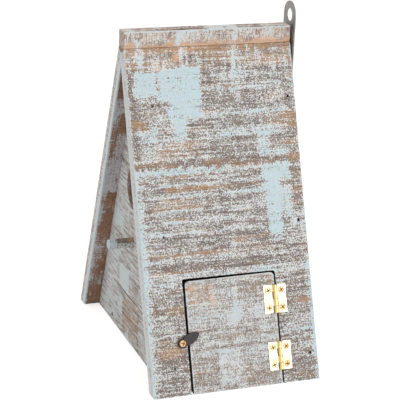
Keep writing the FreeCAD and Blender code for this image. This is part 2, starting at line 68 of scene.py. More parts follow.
# A panel's nails: places along it, each with its places up the slope
NAIL_COLUMNS = ((20.55, (23.5, 132.8, 242.0)), (143.35, (23.5, 137.6, 244.4)))
NAIL_RADIUS = 1.45
FLOOR_NAILS = ((-55, 6.25), (55, 6.25))
# Along the ridge bar as shares of its length, and to either side of its middle
RIDGE_NAILS = ((0.2, -3), (0.4, 3), (0.6, -3), (0.8, 3))
# Hinges and latch, on the near panel's face
HINGE_LINE = 115.0
HINGE_FEET = (60.5, 12.2)
HINGE_HEIGHT = 24.0
HINGE_SCREW_OUT = 6.05
HINGE_SCREW_IN = 4.6
LEAF = 0.9
BUTTON = (28.6, 43.8)
# Heights on the back gable
HANGER_SCREWS = (213.0, 235.0)

# Sizes of details that are only here, or that the CAD model has smaller
DOOR_CORNER = 3.6
DOOR_SLANT = 0.4
DOORWAY_CORNERS = (1.5, 2.4)
THREAD_PITCH = 0.95
NAIL_DEPTH = 1.1
PAINT_LAP = 2.0
PERCH_WORN = 1.1
ENTRANCE_WORN = 1.6
PERCH_HOLE_WORN = 0.35
GABLE_BLUNT = 5.0
# Play between fixed pieces
FIT = 0.05
# How far a panel's mesh is stretched or squeezed beside its slanting foot and head
FOOT_REACH = 20.0
HEAD_REACH = 22.0
# Lengths that count as none
SNAP = 1e-6
TINY = 1e-9


# Frames: X out of a board's face, Y along its saw marks, Z across them

def placed(x_axis, y_axis, origin):
    """Matrix of a frame with these two axes at an origin in millimetres."""
    x, y = Vector(x_axis), Vector(y_axis)
    turn = Matrix((x, y, x.cross(y))).transposed().to_4x4()
    return Matrix.Translation(Vector(origin) * MM) @ turn


RIGHT_PANEL = placed((COS, 0, SIN), (0, 1, 0), (HALF_BASE, FRONT, 0))
LEFT_PANEL = placed((-COS, 0, SIN), (0, -1, 0), (-HALF_BASE, FRONT + DEPTH, 0))
FRONT_GABLE = placed((0, -1, 0), (1, 0, 0), (0, FRONT + GABLE_SETBACK, 0))
BACK_GABLE = placed((0, 1, 0), (-1, 0, 0), (0, FRONT + DEPTH + GABLE_PROUD, 0))
FLOOR = placed((0, 0, 1), (0, 1, 0), (0, FRONT + GABLE_SETBACK + BOARD, BOARD))
RIDGE = placed((1, 0, 0), (0, 1, 0), (0, FRONT, PEAK))


# Noise and small helpers on arrays

def smooth(t):
    """A soft step from 0 to 1."""
    t = np.clip(t, 0, 1)
    return t * t * (3 - 2 * t)


def wave(x, y, seed):
    """Gradient noise, about -1 to 1, with bumps about 1 wide."""
    x, y = np.broadcast_arrays(np.asarray(x, float), np.asarray(y, float))
    angles = np.random.default_rng(seed).random((256, 256)) * 2 * math.pi
    x0, y0 = np.floor(x).astype(int), np.floor(y).astype(int)
    fx, fy = x - x0, y - y0

    def corner(i, j):
        angle = angles[(x0 + i) & 255, (y0 + j) & 255]
        return np.cos(angle) * (fx - i) + np.sin(angle) * (fy - j)

    u = fx * fx * fx * (fx * (6 * fx - 15) + 10)
    v = fy * fy * fy * (fy * (6 * fy - 15) + 10)
    low = corner(0, 0) * (1 - u) + corner(1, 0) * u
    high = corner(0, 1) * (1 - u) + corner(1, 1) * u
    return 1.6 * (low * (1 - v) + high * v)


def rows(y, z, seed, pitch):
    """Saw rows along y: thin pale lines at an uneven pitch, which wander and fade, between worn rows."""
    z = z + 1.0 * wave(y / 85, z / 30, seed)
    phase = z / pitch + 0.5 * wave(y / 200, z / (2.2 * pitch), seed + 1)
    line = smooth((np.cos(2 * math.pi * phase) - 0.1) / 0.9)
    fade = np.clip(0.55 + 1.1 * wave(y / 34, z / pitch + 0.5, seed + 2), 0, 1.3)
    return fade * line - 0.22 + 0.5 * wave(y / 70, 2 * z / pitch, seed + 3)


def patchwork(y, z, patches, seed):
    """Adds up ragged patches (y from, y to, z from, z to, amount)."""
    y = y + 1.3 * wave(y / 9, z / 5, seed) + 1.0 * wave(y / 3, z / 2, seed + 1)
    teeth = 2.4 * wave(y / 3.6, z / 30, seed + 3) + 1.3 * wave(y / 1.7, z / 14, seed + 4)
    z = z + 0.8 * wave(y / 7, z / 5, seed + 2) + teeth
    total = np.zeros_like(y)
    for y0, y1, z0, z1, amount in patches:
        across = smooth(np.minimum(y - y0, y1 - y) / 4 + 0.5)
        up = smooth(np.minimum(z - z0, z1 - z) / 2.2 + 0.5)
        total += amount * across * up
    return total


def lined(y, z, lines, seed):
    """Adds up thin level rows (z, half thickness, y from, y to, amount)."""
    drift = z + 0.6 * wave(y / 32, z / 20, seed) + 0.35 * wave(y / 3, z / 8, seed + 1)
    total = np.zeros_like(y)
    for level, half, y0, y1, amount in lines:
        along = smooth(np.minimum(y - y0, y1 - y) / 8 + 0.5)
        strength = np.clip(0.85 + 0.7 * wave(y / 15, level, seed + 2), 0.2, 1.4)
        total += amount * along * strength * np.exp(-(((drift - level) / half) ** 2))
    return total


# Meshes

def ruled(anchors, step):
    """Lattice lines between anchors, closer together beside each anchor."""
    near = np.array([0.25, 0.6, 1.1])
    marks = [anchors[0]]
    for a, b in zip(anchors, anchors[1:]):
        count = max(2, round((b - a - 3.4) / step) + 1)
        marks += [*(a + near), *np.linspace(a + 1.7, b - 1.7, count), *(b - near[::-1]), b]
    return np.array(marks)


def shell(xs, ys, zs, filled=None):
    """Closed skin of quads round the filled cells of a lattice."""
    size = (len(xs), len(ys), len(zs))
    if filled is None:
        filled = np.ones((size[1] - 1, size[2] - 1), bool)
    ids = np.arange(size[0] * size[1] * size[2]).reshape(size)
    quads = []
    y, z = np.nonzero(filled)
    for x, turn in ((size[0] - 1, 1), (0, -1)):
        ring = [ids[x, y, z], ids[x, y + 1, z], ids[x, y + 1, z + 1], ids[x, y, z + 1]]
        quads.append(np.stack(ring[::turn], -1))
    padded = np.pad(filled, 1).astype(int)
    along_y = padded[1:, 1:-1] - padded[:-1, 1:-1]
    along_z = padded[1:-1, 1:] - padded[1:-1, :-1]
    for turn in (1, -1):
        for x in range(size[0] - 1):
            y, z = np.nonzero(along_y == -turn)
            ring = [ids[x, y, z], ids[x, y, z + 1], ids[x + 1, y, z + 1], ids[x + 1, y, z]]
            quads.append(np.stack(ring[::turn], -1))
            y, z = np.nonzero(along_z == -turn)
            ring = [ids[x, y, z], ids[x + 1, y, z], ids[x + 1, y + 1, z], ids[x, y + 1, z]]
            quads.append(np.stack(ring[::turn], -1))
    used, quads = np.unique(np.concatenate(quads), return_inverse=True)
    x, y, z = np.unravel_index(used, size)
    return np.stack([xs[x], ys[y], zs[z]], -1), quads.reshape(-1, 4)


def eased(places, radius):
    """Rounds the edges of a box-shaped skin, by a radius that may differ at each vertex."""
    r = radius[:, None]
    core = np.clip(places, places.min(0) + r, places.max(0) - r)
    out = places - core
    length = np.linalg.norm(out, axis=1, keepdims=True)
    return np.where(length > r, core + out * r / np.maximum(length, TINY), places)


def rounding(a, b, radius):
    """Moves that round an edge, for places that are radius - a and radius - b below its two sides."""
    near = (a > 0) & (b > 0)
    length = np.maximum(np.hypot(a, b), TINY)
    return [np.where(near, t - radius * t / length, 0) for t in (a, b)]


def eased_notch(places, notch, radius):
    """Rounds the edges round a notch (y from, y to, top) that is open below."""
    x, y, z = places.T
    y0, y1, top = notch
    away_y = np.where(y <= y0 + SNAP, -1.0, np.where(y >= y1 - SNAP, 1.0, 0.0))
    away_z = np.where(z >= top - SNAP, 1.0, 0.0)
    dy = np.maximum(np.maximum(y0 - y, y - y1), 0)
    dz = np.maximum(z - top, 0)
    gap = np.hypot(dy, dz)
    away_y = np.where(gap > SNAP, away_y * dy / np.maximum(gap, TINY), away_y)
    away_z = np.where(gap > SNAP, dz / np.maximum(gap, TINY), away_z * (away_y == 0))
    for face, inward in ((x.max(), -1), (x.min(), 1)):
        into, push = rounding(radius - np.abs(x - face), radius - gap, radius)
        x = x + inward * into
        y = y + away_y * push
        z = z + away_z * push
    return np.stack([x, y, z], -1)


def rounded_corners(places, edges, top, radii):
    """Rounds a board's two upper corners, or fills those of its notch, in the plane of its face."""
    x, y, z = places.T
    for edge, side, radius in zip(edges, (-1, 1), radii):
        a, b = side * (y - edge) + radius, z - top + radius
        square = np.maximum(a, b)
        share = smooth(1 - (square - radius) / (3 * radius)) * ((a > 0) & (b > 0))
        pull = share * (1 - square / np.maximum(np.hypot(a, b), TINY))
        y, z = y - side * pull * a, z - pull * b
    return np.stack([x, y, z], -1)


def linked(name, data):
    """A new object in the scene."""
    made = bpy.data.objects.new(name, data)
    scene.collection.objects.link(made)
    return made


def new_piece(name, forms):
    """An object of one or more forms (places, faces), still in its own frame."""
    starts = np.cumsum([0] + [len(places) for places, _ in forms])
    places = np.concatenate([places for places, _ in forms])
    faces = np.concatenate([faces + start for (_, faces), start in zip(forms, starts)])
    mesh = bpy.data.meshes.new(name)
    mesh.from_pydata((places * MM).tolist(), [], faces.tolist())
    return linked(name, mesh)


def seat(piece, matrix, body, slot, *nodes):
    """Puts a piece in its place, keeps its own coordinates in a field, and lets it ride."""
    mesh = piece.data
    own = np.empty(len(mesh.vertices) * 3, np.float32)
    mesh.vertices.foreach_get("co", own)
    field = mesh.attributes.new("own", "FLOAT_VECTOR", "POINT")
    field.data.foreach_set("vector", own / MM)
    mesh.transform(matrix)
    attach(piece, body)
    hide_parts(*nodes)
    return piece


def normals_of(places, faces):
    """Unit normals at the vertices of quads, weighted by area."""
    a, b, c, d = (places[faces[:, i]] for i in range(4))
    flat = np.cross(c - a, d - b)
    total = np.zeros_like(places)
    for i in range(4):
        np.add.at(total, faces[:, i], flat)
    return total / np.maximum(np.linalg.norm(total, axis=1, keepdims=True), TINY)


def set_field(piece, name, values):
    """Keeps one number for each vertex, for the piece's material."""
    field = piece.data.attributes.new(name, "FLOAT", "POINT")
    field.data.foreach_set("value", values.astype(np.float32))


def places_of(piece):
    """A piece's vertices in millimetres, in its own frame."""
    flat = np.empty(len(piece.data.vertices) * 3, np.float32)
    own = piece.data.attributes.get("own")
    if own:
        own.data.foreach_get("vector", flat)
        return flat.reshape(-1, 3)
    piece.data.vertices.foreach_get("co", flat)
    return flat.reshape(-1, 3) / MM


def cut(piece, forms):
    """Takes closed forms out of a piece."""
    cutter = new_piece("cutter", forms)
    tidy_mesh(cutter.data)
    work = piece.modifiers.new("cut", "BOOLEAN")
    work.operation = "DIFFERENCE"
    work.solver = "EXACT"
    work.object = cutter
    settle(piece)
    bpy.data.objects.remove(cutter)


def settle(piece):
    """Applies a piece's modifiers."""
    bpy.context.view_layer.update()
    done = bpy.data.meshes.new_from_object(piece.evaluated_get(bpy.context.evaluated_depsgraph_get()))
    piece.modifiers.clear()
    old, piece.data = piece.data, done
    bpy.data.meshes.remove(old)
    done.name = piece.name


def spun(profile, count):
    """Places and quads of a turned form: (radius, height) rings round X, from pole to pole."""
    angles = np.arange(count) * 2 * math.pi / count
    radii, heights = np.array(profile).T
    rings = np.stack([
        np.repeat(heights, count),
        np.outer(radii, np.cos(angles)).ravel(),
        np.outer(radii, np.sin(angles)).ravel(),
    ], -1)
    return rings, ring_faces(len(profile), count)


def ring_faces(levels, count):
    """Quads between rings of vertices."""
    ids = np.arange(levels * count).reshape(levels, count)
    after = np.roll(ids, -1, 1)
    return np.stack([ids[:-1], after[:-1], after[1:], ids[1:]], -1).reshape(-1, 4)


# Boards

def finished_board(node, places, faces, matrix, finish, body="box", holes=(), front_wash=0, wall_wash_and_painted_light=1):
    """Presses the finish's relief into a board's skin and gives it the finish's fields."""
    normals = normals_of(places, faces)
    cover, ember, depth = finish(places, normals)
    piece = new_piece(f"{node}_shown", [(places - normals * np.maximum(depth, 0)[:, None], faces)])
    set_field(piece, "cover", cover)
    set_field(piece, "ember", ember)
    # Worn haze on walls and rubbed tops, and on the walls whiter paint as painted light
    set_field(piece, "wash", blend_sides(normals, front_wash, 0, wall_wash_and_painted_light))
    if holes:
        cut(piece, holes)
    piece.data.shade_smooth()
    return seat(piece, matrix, body, "painted_wood", node)


def blend_sides(normals, front, back, wall):
    """One field from its values on the front, the back and the walls of a board."""
    to_front = smooth((normals[:, 0] - 0.35) / 0.5)
    to_back = smooth((-normals[:, 0] - 0.35) / 0.5)
    return front * to_front + back * to_back + wall * (1 - to_front - to_back)


def finish_of(normals, front, back, wall):
    """Cover, warmth and depth of a board, from those of its front, its back and its walls."""
    return [blend_sides(normals, *sides) for sides in zip(front, back, wall)]


def edge_radius(places, seed, mean=0.48, spread=0.36):
    """Worn edges: the rounding comes and goes along an edge."""
    run = places[:, 1] + places[:, 2]
    worn = wave(run / 7, places[:, 0] / 30, seed) + 0.6 * wave(run / 2.3, places[:, 0] / 9, seed + 1)
    return np.clip(mean + spread * worn, 0.2, 1.15)


# The near panel's paint: patches and rows where it is whole (above 0) or worn through (below 0), and
# patches where the bare wood is warm, laid out as patchwork and lined take them
RIGHT_PATCHES = [
    (5, 26, 251, 270, 0.6), (28, 64, 247, 273, 0.7), (6, 34, 244, 254, 0.22), (36, 63, 234, 252, 0.66),
    (34, 62, 229, 238, 0.55), (37, 49, 214, 230, 0.64), (40, 46, 208, 215, 0.3), (20, 36, 231, 235, 0.3),
    (2, 24, 217, 223, 0.3), (8, 24, 198, 217, 0.2), (75, 140, 214, 220, 0.3), (112, 123, 193, 216, 0.42),
    (124, 138, 195, 201, 0.4), (92, 99, 250, 292, 0.26), (100, 104, 255, 275, 0.15),
    (108, 112, 270, 290, 0.2), (48, 53, 281, 292, 0.45), (8, 14, 278, 292, 0.4),
    (64, 68, 195, 245, 0.15), (113, 139, 175, 188, 0.66), (116, 128, 129, 180, 0.7),
    (126, 139, 143, 168, 0.4), (116, 130, 122, 134, 0.3), (136, 150, 128, 146, 0.25),
    (0, 112, 184.5, 188.5, 0.36), (2, 50, 184, 189, 0.12), (0, 150, 95, 99.5, 0.22),
    (0, 34, 84, 99, 0.12), (118, 150, 76, 95, -0.12), (118, 150, 44, 50, 0.12),
    (120, 147, 52, 62, -0.06), (128, 147, 32, 40, -0.1), (80, 85, 118, 126, 0.35),
    (0, 4.5, 0, 165, 0.42), (0, 3, 165, 190, 0.2), (0, 33, 58, 67, 0.06), (0, 6, 196, 270, -0.32),
    (0, 75, 189.5, 194.5, -0.3), (60, 150, 188, 193, -0.3), (2, 15, 221, 232, -0.42),
    (140, 150, 190, 250, -0.2), (138, 150, 146, 184, -0.2), (64, 112, 236, 252, -0.1),
    (64, 150, 222, 231, -0.1), (64, 112, 192, 213, -0.12), (8, 116, 121, 131, -0.1),
    (18, 116, 103, 110, -0.25), (10, 31, 28, 48, -0.2), (3, 33, 69.5, 74, -0.35), (4, 30, 2, 13, -0.06),
    (126, 149, 67, 74, -0.32), (120, 150, 2, 20, -0.22), (0, 33, 0, 97, -0.08), (3, 32, 78, 90, -0.1),
    (20, 112, 169.5, 173, -0.15), (0, 150, 286, 293, -0.2), (147, 150, 0, 100, 0.5),
    (26, 28.5, 252, 270, -0.4), (118, 147, 102, 110, -0.14), (117, 132, 86, 94, 0.12),
    (84, 98, 110, 135, -0.14), (46, 72, 137, 150, 0.12), (12, 36, 210, 242, 0.1),
    (58, 84, 150, 180, -0.08), (0, 60, 270, 285, -0.08), (118, 132, 196, 210, -0.14),
    (96, 118, 94, 101, 0.16),
]
RIGHT_ROWS = [
    (233, 1.6, 64, 142, 0.5), (254.5, 0.9, 66, 145, 0.5), (265, 0.7, 70, 150, 0.25),
    (175.5, 1.0, 0, 112, 0.4), (166, 1.4, 0, 116, 0.5), (153.3, 0.9, 14, 116, 0.42),
    (143.6, 0.9, 0, 116, 0.45), (138, 1.0, 0, 20, 0.25), (134.8, 1.3, 0, 112, 0.45),
    (113.5, 1.3, 0, 112, 0.3), (101, 1.0, 0, 112, 0.3), (207, 0.8, 24, 110, 0.25),
    (226.5, 0.8, 16, 112, 0.25), (44.5, 1.6, 118, 150, 0.25), (33, 1.4, 119, 150, 0.2),
    (260, 0.7, 64, 140, -0.3), (224, 0.9, 46, 72, -0.5), (236.6, 0.8, 4, 36, -0.35),
    (117, 1.0, 2, 82, -0.55), (117, 1.0, 128, 150, -0.5), (104.5, 0.9, 20, 112, -0.3),
    (162.8, 0.9, 10, 114, -0.3), (140.5, 1.2, 0, 14, -0.35), (147.5, 1.8, 0, 14, -0.3),
    (156.2, 1.1, 4, 60, -0.3), (43, 0.7, 124, 148, -0.3), (27, 0.8, 122, 148, -0.3),
    (250.5, 0.8, 24, 38, -0.3), (281, 1.0, 60, 150, -0.2), (203.5, 0.8, 20, 62, -0.3),
    (171.5, 1.4, 14, 112, -0.22), (148.5, 1.3, 14, 110, -0.1), (140, 0.9, 20, 112, -0.18),
    (130.5, 1.0, 10, 112, -0.18), (192, 1.2, 0, 150, -0.12),
]
RIGHT_EMBERS = [
    (0, 150, 272, 291, 0.5), (0, 150, 285, 293, 0.25), (0, 75, 188.5, 196, 0.28),
    (60, 150, 187, 193, 0.3), (14, 56, 154, 164, 0.55), (20, 46, 176, 184, 0.45),
    (24, 110, 170, 173, 0.45), (22, 44, 145, 151, 0.4), (18, 60, 196, 212, 0.4), (2, 14, 222, 232, 0.55),
    (138, 150, 190, 236, 0.35), (138, 150, 146, 184, 0.1), (0, 150, 115.5, 118.5, 0.4),
    (8, 28, 28, 48, 0.15), (0, 33, 0, 22, -0.5), (3, 33, 69, 75, 0.5), (80, 116, 120, 131, 0.22),
    (40, 116, 103, 110, 0.1), (42, 48, 279, 285, 1.3), (24, 28, 271, 278, 1.2), (32, 35, 270, 276, 1.0),
    (126, 148, 67, 74, 0.3),
]


# The top of a panel is brushed upright, and rubbed thin nearest the ridge: start and fade of each
BRUSHED = (235, 30)
RUBBED = (264, 16)


def beyond(z, zone):
    """0 below a zone's start, and 1 past its fade."""
    start, fade = zone
    return smooth((z - start) / fade)


def painted_front(y, z, patches, lines, embers, seed, mean=0.42, contrast=1.0, pitch=5.6):
    """Cover of paint and warmth of the bare wood on a rough-sawn face."""
    broad = 0.1 * wave(y / 30, z / 22, seed + 7) + 0.08 * wave(y / 4, z / 40, seed + 8)
    cover = mean + contrast * (0.2 * rows(y, z, seed, pitch) + broad)
    cover += patchwork(y, z, patches, seed + 20) + lined(y, z, lines, seed + 26)
    cover += 0.4 * beyond(z, BRUSHED) * wave(y / 1.4, z / 26, seed + 9)
    ember = 0.08 + 0.6 * wave(y / 38, z / 7, seed + 11) + patchwork(y, z, embers, seed + 30)
    return np.clip(cover, -0.3, 1.5), np.clip(ember, 0, 1.6)


def sawn(y, z, cover, seed):
    """Depth of the saw marks: worn rows stand proud, and paint lies in the hollows."""
    fine = 0.07 * wave(y / 26, z / 1.9, seed + 41) + 0.05 * wave(y / 3.2, z / 1.6, seed + 42)
    return 0.05 + 0.14 * smooth(cover) + fine


def edge_marks(run, x, seed, depth=0.08):
    """Depth of the marks along a board's walls."""
    return depth + depth * wave(run / 2.5, x / 1.5, seed + 4)


# Warmth below 0 is the dark stained wood of the inner faces, and further below near-black painted shade:
# the saw cuts round the door are drawn that dark so the gap there reads as deep shade
STAIN = -1.0
DARK_SHADE = -2.0


def bare_side(y, z, seed):
    """Cover of a face that was never painted, apart from a few specks."""
    return -0.12 + 0.25 * wave(y / 30, z / 14, seed + 60)


# Paint across a panel's walls, from the inner face to the outer: thick at both corners; at the inner corner
# the paint is also raised to lift the shade from the gable there, partly painted light
WALL_DEPTHS = (-BOARD, -10.0, -7.5, -3.5, 0.0)
RIGHT_WALL = (1.0, 1.0, 0.66, 0.56, 1.1)
LEFT_WALL = (1.1, 1.0, 0.6, 0.42, 0.62)


def at_top(z):
    """1 on a panel's mitred top, under the ridge bar."""
    return smooth((z - SLOPE + 1.4) / 0.8)


def panel_finish(patches, lines, embers, inner, wall_paint, seed, notch=()):
    """A roof panel: painted outside, dark and blotched inside, greyish on its edges, painted shade in its
    notch.
    """

    def finish(places, normals):
        x, y, z = places.T
        front, front_ember = painted_front(y, z, patches, lines, embers, seed)
        rim = smooth(1 - np.minimum(np.minimum(y, DEPTH - y), z) / 2.6)
        front = front + 0.5 * rim * (0.7 + 0.5 * wave((y + z) / 6, x, seed + 3))
        front_ember = np.maximum(front_ember, 0.55 * rim)
        back = bare_side(y, z, seed) + patchwork(y, z, inner, seed + 62)
        reach = PAINT_LAP * (1 + 0.35 * wave(z / 9, y / 9, seed + 64))
        lap = smooth(1.6 - 1.6 * np.minimum(y, DEPTH - y) / reach)
        back = back + lap * (1.1 - back)
        wall = np.interp(x, WALL_DEPTHS, wall_paint) + 0.2 * wave((y + z) / 14, x / 4, seed + 5)
        wall = wall + 0.15 * wave((y + z) / 3, x / 2, seed + 6)
        wall_ember = np.clip(0.3 + 0.4 * wave((y + z) / 20, x / 5, seed + 9), 0, 1)
        wall = wall - at_top(z) * (wall + 0.1)
        wall_ember = np.maximum(wall_ember, 0.9 * at_top(z))
        # The notch's walls are bare wood drawn near-black: painted shade, so the gap round the door reads
        # dark
        if notch:
            shaded_gap = (y > notch[0] - 0.9) & (y < notch[1] + 0.9) & (z < notch[2] + 0.9)
            wall = np.where(shaded_gap, bare_side(y, z, seed), wall)
            wall_ember = np.where(shaded_gap, DARK_SHADE, wall_ember)
        return finish_of(
            normals,
            (front, front_ember, sawn(y, z, front, seed)),
            (back, STAIN * (1 - lap), sawn(y, z, back, seed + 1)),
            (wall, wall_ember, edge_marks(y + z, x, seed)),
        )

    return finish


def level_foot(x, z, foot=0.0):
    """How far the places near a leaning board's foot move up to make it level."""
    return -x * TAN * np.clip(1 - (z - foot) / FOOT_REACH, 0, 1)


def cut_ends(places):
    """A roof panel's level foot and its mitred top."""
    x, y, z = places.T
    depths = (-BOARD, -HALF_PEAK * COS, 0)
    tops = ((HALF_BASE - BOARD * COS) / SIN, SLOPE + HALF_PEAK * SIN, SLOPE)
    head = (np.interp(x, depths, tops) - SLOPE) * np.clip((z - SLOPE + HEAD_REACH) / HEAD_REACH, 0, 1)
    return np.stack([x, y, z + level_foot(x, z) + head], -1)


def nail_holes(spots, share=1.0):
    """Forms of the marks over sunk nails, at (y, z) on a board's face. share makes them smaller."""
    radius = share * NAIL_RADIUS
    floor = [(0, -NAIL_DEPTH), (0.7 * radius, -NAIL_DEPTH), (radius, 0.2 - NAIL_DEPTH)]
    mouth = [(radius + 0.05, -0.35), (radius + 0.2, 0.4), (0, 0.4)]
    places, faces = spun(floor + mouth, 24)
    return [(places * (1, 0.75, 1.35) + (0, y, z), faces) for y, z in spots]


def tidy_mesh(mesh):
    """Closes the poles of a turned form and turns its faces outwards."""
    work = bmesh.new()
    work.from_mesh(mesh)
    bmesh.ops.remove_doubles(work, verts=work.verts, dist=1e-7)
    bmesh.ops.recalc_face_normals(work, faces=work.faces)
    work.to_mesh(mesh)
    work.free()


def through_board(*between):
    """Lattice lines through a board's thickness."""
    return ruled([-BOARD, *between, 0], step=2.2)


def roof_panel(name, matrix, finish, seed, notch=()):
    """A leaning board with a mitred top, nail marks and, where there is one, the doorway's notch."""
    ys = ruled([0, *notch[:2], DEPTH], step=1.9)
    zs = ruled([0, *notch[2:], SLOPE], step=0.67)
    filled = np.ones((len(ys) - 1, len(zs) - 1), bool)
    if notch:
        inside = (ys[:-1] >= notch[0] - SNAP) & (ys[1:] <= notch[1] + SNAP)
        filled = ~np.logical_and.outer(inside, zs[1:] <= notch[2] + SNAP)
    places, faces = shell(through_board(-HALF_PEAK * COS), ys, zs, filled)
    radius = edge_radius(places, seed)
    places = eased(places, radius)
    if notch:
        places = eased_notch(places, notch, np.clip(radius * 0.8, 0.2, 0.8))
        places = rounded_corners(places, notch[:2], notch[2], DOORWAY_CORNERS)
    places = cut_ends(places)
    holes = []
    for (line, rises), share in zip(NAIL_COLUMNS, (0.55, 1.0)):
        y = DEPTH - line if matrix is LEFT_PANEL else line
        holes += nail_holes([(y, rise) for rise in rises], share)
    rise = places[:, 2]
    # The walls take the wash and its painted light, except on the mitred top under the ridge bar
    washes = {"front_wash": 0.6 * beyond(rise, RUBBED), "wall_wash_and_painted_light": 1 - at_top(rise)}
    return finished_board(name, places, faces, matrix, finish, holes=holes, **washes)


# The far panel's paint, of which the camera sees only the front edge and a strip of the inner face
LEFT_PATCHES = [
    (22, 58, 170, 196, 0.5), (34, 72, 158, 178, 0.5), (40, 52, 146, 162, 0.45), (58, 66, 176, 206, 0.3),
    (92, 138, 66, 82, 0.45), (104, 124, 78, 92, 0.45), (126, 140, 56, 70, 0.35),
    (30, 120, 231, 236, 0.4), (100, 122, 196, 240, 0.5), (106, 130, 178, 200, 0.5),
    (114, 122, 164, 180, 0.4), (12, 44, 26, 48, 0.45), (26, 62, 18, 32, 0.4), (50, 60, 30, 44, 0.25),
    (0, 150, 120, 125, 0.3), (70, 76, 240, 286, 0.25), (0, 150, 205, 210, -0.4), (0, 150, 82, 88, -0.3),
    (40, 150, 250, 275, -0.15), (60, 110, 6, 40, -0.2),
]
LEFT_EMBERS = [
    (0, 150, 200, 214, 0.7), (0, 150, 80, 90, 0.6), (0, 150, 272, 291, 0.7), (20, 70, 96, 116, 0.7),
]
LEFT_INNER = [
    (130, 152, 228, 244, 0.72), (144, 152, 214, 230, 0.66), (133, 143, 180, 207, 0.66),
    (133, 152, 142, 180, 0.84), (143, 152, 180, 214, 0.3), (145, 152, 104, 144, 0.8),
    (144, 150, 52, 94, 0.62), (139.5, 143, 60, 92, 0.6), (134, 137, 66, 88, 0.56),
    (142, 152, 34, 54, 0.56), (136, 140, 28, 46, 0.5), (130, 152, 0, 34, 0.28),
    (130, 136, 100, 142, 0.3),
]
LEFT_ROWS = [
    (233, 1.5, 10, 140, 0.4), (165, 1.3, 0, 150, 0.4), (112, 1.3, 0, 120, 0.4), (60, 1.6, 20, 150, 0.4),
]

right_finish = panel_finish(RIGHT_PATCHES, RIGHT_ROWS, RIGHT_EMBERS, [], RIGHT_WALL, 11, DOORWAY)
right_panel = roof_panel("roof_panel_right", RIGHT_PANEL, right_finish, 3, DOORWAY)
left_finish = panel_finish(LEFT_PATCHES, LEFT_ROWS, LEFT_EMBERS, LEFT_INNER, LEFT_WALL, 211)
left_panel = roof_panel("roof_panel_left", LEFT_PANEL, left_finish, 5)


# The door, sawn out of the near panel: its paint is laid out in that panel's frame

DOOR_PATCHES = [
    (75, 85, 58, 73, 0.4), (62, 80, 59, 66, 0.2), (70, 80, 54, 60, 0.2), (96, 106, 58, 72, 0.25),
    (60, 78, 6, 36, 0.24), (74, 82, 58, 70, 0.15), (84, 114, 3, 12, -0.2), (36, 58, 6, 28, -0.14),
    (86, 112, 78, 90, -0.1), (36, 56, 76, 92, -0.12), (78, 82, 70, 92, 0.16), (86, 98, 38, 60, -0.1),
    (98, 114, 40, 56, 0.1), (40, 62, 60, 66, 0.12),
]
DOOR_ROWS = [
    (52, 1.2, 36, 62, -0.3), (37, 0.9, 36, 112, -0.3), (87, 0.9, 60, 114, -0.22),
    (45, 0.8, 40, 112, -0.15), (33, 1.2, 36, 112, 0.2), (40.5, 1.2, 36, 112, 0.2),
    (74, 0.9, 36, 100, 0.15), (91, 0.8, 50, 112, 0.15),
]
DOOR_EMBERS = [
    (37, 48, 74, 92, 0.95), (48, 58, 78, 91, 0.75), (57, 61, 72, 90, 1.3), (110, 114, 86, 93, 0.6),
    (36, 62, 48, 54, 0.25), (76, 112, 3, 12, 0.3), (36, 58, 6, 28, 0.2), (84, 112, 20, 40, 0.15),
]


def door_finish(places, normals, seed=311):
    """The door: painted outside like the panel, stained inside, with near-black painted shade on its sawn
    walls.
    """
    x, y, z = places.T
    front, front_ember = painted_front(
        y, z, DOOR_PATCHES, DOOR_ROWS, DOOR_EMBERS, seed, mean=0.46, contrast=0.55, pitch=4.2)
    rim = np.minimum(np.minimum(y - DOOR[0], DOOR[1] - y), DOOR[3] - z)
    front = front + 0.4 * smooth(1 - rim / 2.2)
    back = bare_side(y, z, seed)
    return finish_of(
        normals,
        (front, front_ember, sawn(y, z, front, seed)),
        (back, STAIN, sawn(y, z, back, seed + 1)),
        # Sawn walls drawn near-black: painted shade for the gap round the door
        (back, DARK_SHADE, edge_marks(y + z, x, seed)),
    )


def make_door():
    """The door, with a level foot, two rounded corners and a top that rises a little to the hinges."""
    y0, y1, z0, z1 = DOOR
    places, faces = shell(through_board(), ruled([y0, y1], step=1.3), ruled([z0, z1], step=0.62))
    places = eased(places, edge_radius(places, 7))
    places = rounded_corners(places, (y0, y1), z1, (DOOR_CORNER, DOOR_CORNER))
    places[:, 2] += level_foot(places[:, 0], places[:, 2], z0)
    toward_hinge = (2 * places[:, 1] - y0 - y1) / (y1 - y0)
    places[:, 2] += DOOR_SLANT * toward_hinge * np.clip(1 - (z1 - places[:, 2]) / FOOT_REACH, 0, 1)
    return finished_board("door", places, faces, RIGHT_PANEL, door_finish, "door")


door = make_door()


# Gables: triangles whose columns of cells narrow towards the top

FRONT_PATCHES = [
    (-34, -8, 45, 65, 0.8), (-52, -28, 98, 112, 0.45), (-36, -27, 17, 36, 0.3), (-24, 22, 5, 40, -0.26),
    (8, 50, 60, 100, -0.08), (-20, 20, 186, 232, 0.25), (-16, -6, 1, 9, 0.5), (-92, -42, 2, 125, 0.14),
    (-44, -8, 106, 148, 0.12), (-10, 18, 44, 62, -0.12),
]
FRONT_ROWS = [
    (43, 0.9, -46, 34, -0.5), (92.5, 0.8, -64, -20, -0.3), (113.5, 0.8, -70, 20, 0.3),
    (163, 0.8, -40, 40, -0.4), (174.7, 0.8, -40, 40, -0.4), (75, 0.7, -60, 20, 0.2),
    (22, 0.8, -60, 60, -0.2), (128, 0.7, -40, 30, -0.25),
]
FRONT_EMBERS = [(-20, 20, 5, 40, 0.6), (-8, 6, 84, 122, 0.35), (6, 20, 60, 84, 0.2)]
FRONT_GROOVES = (
    (43.0, -46, 34, 0.5), (92.5, -64, 10, 0.3), (163.2, -34, 34, 0.3), (22.0, -30, 88, 0.3),
)


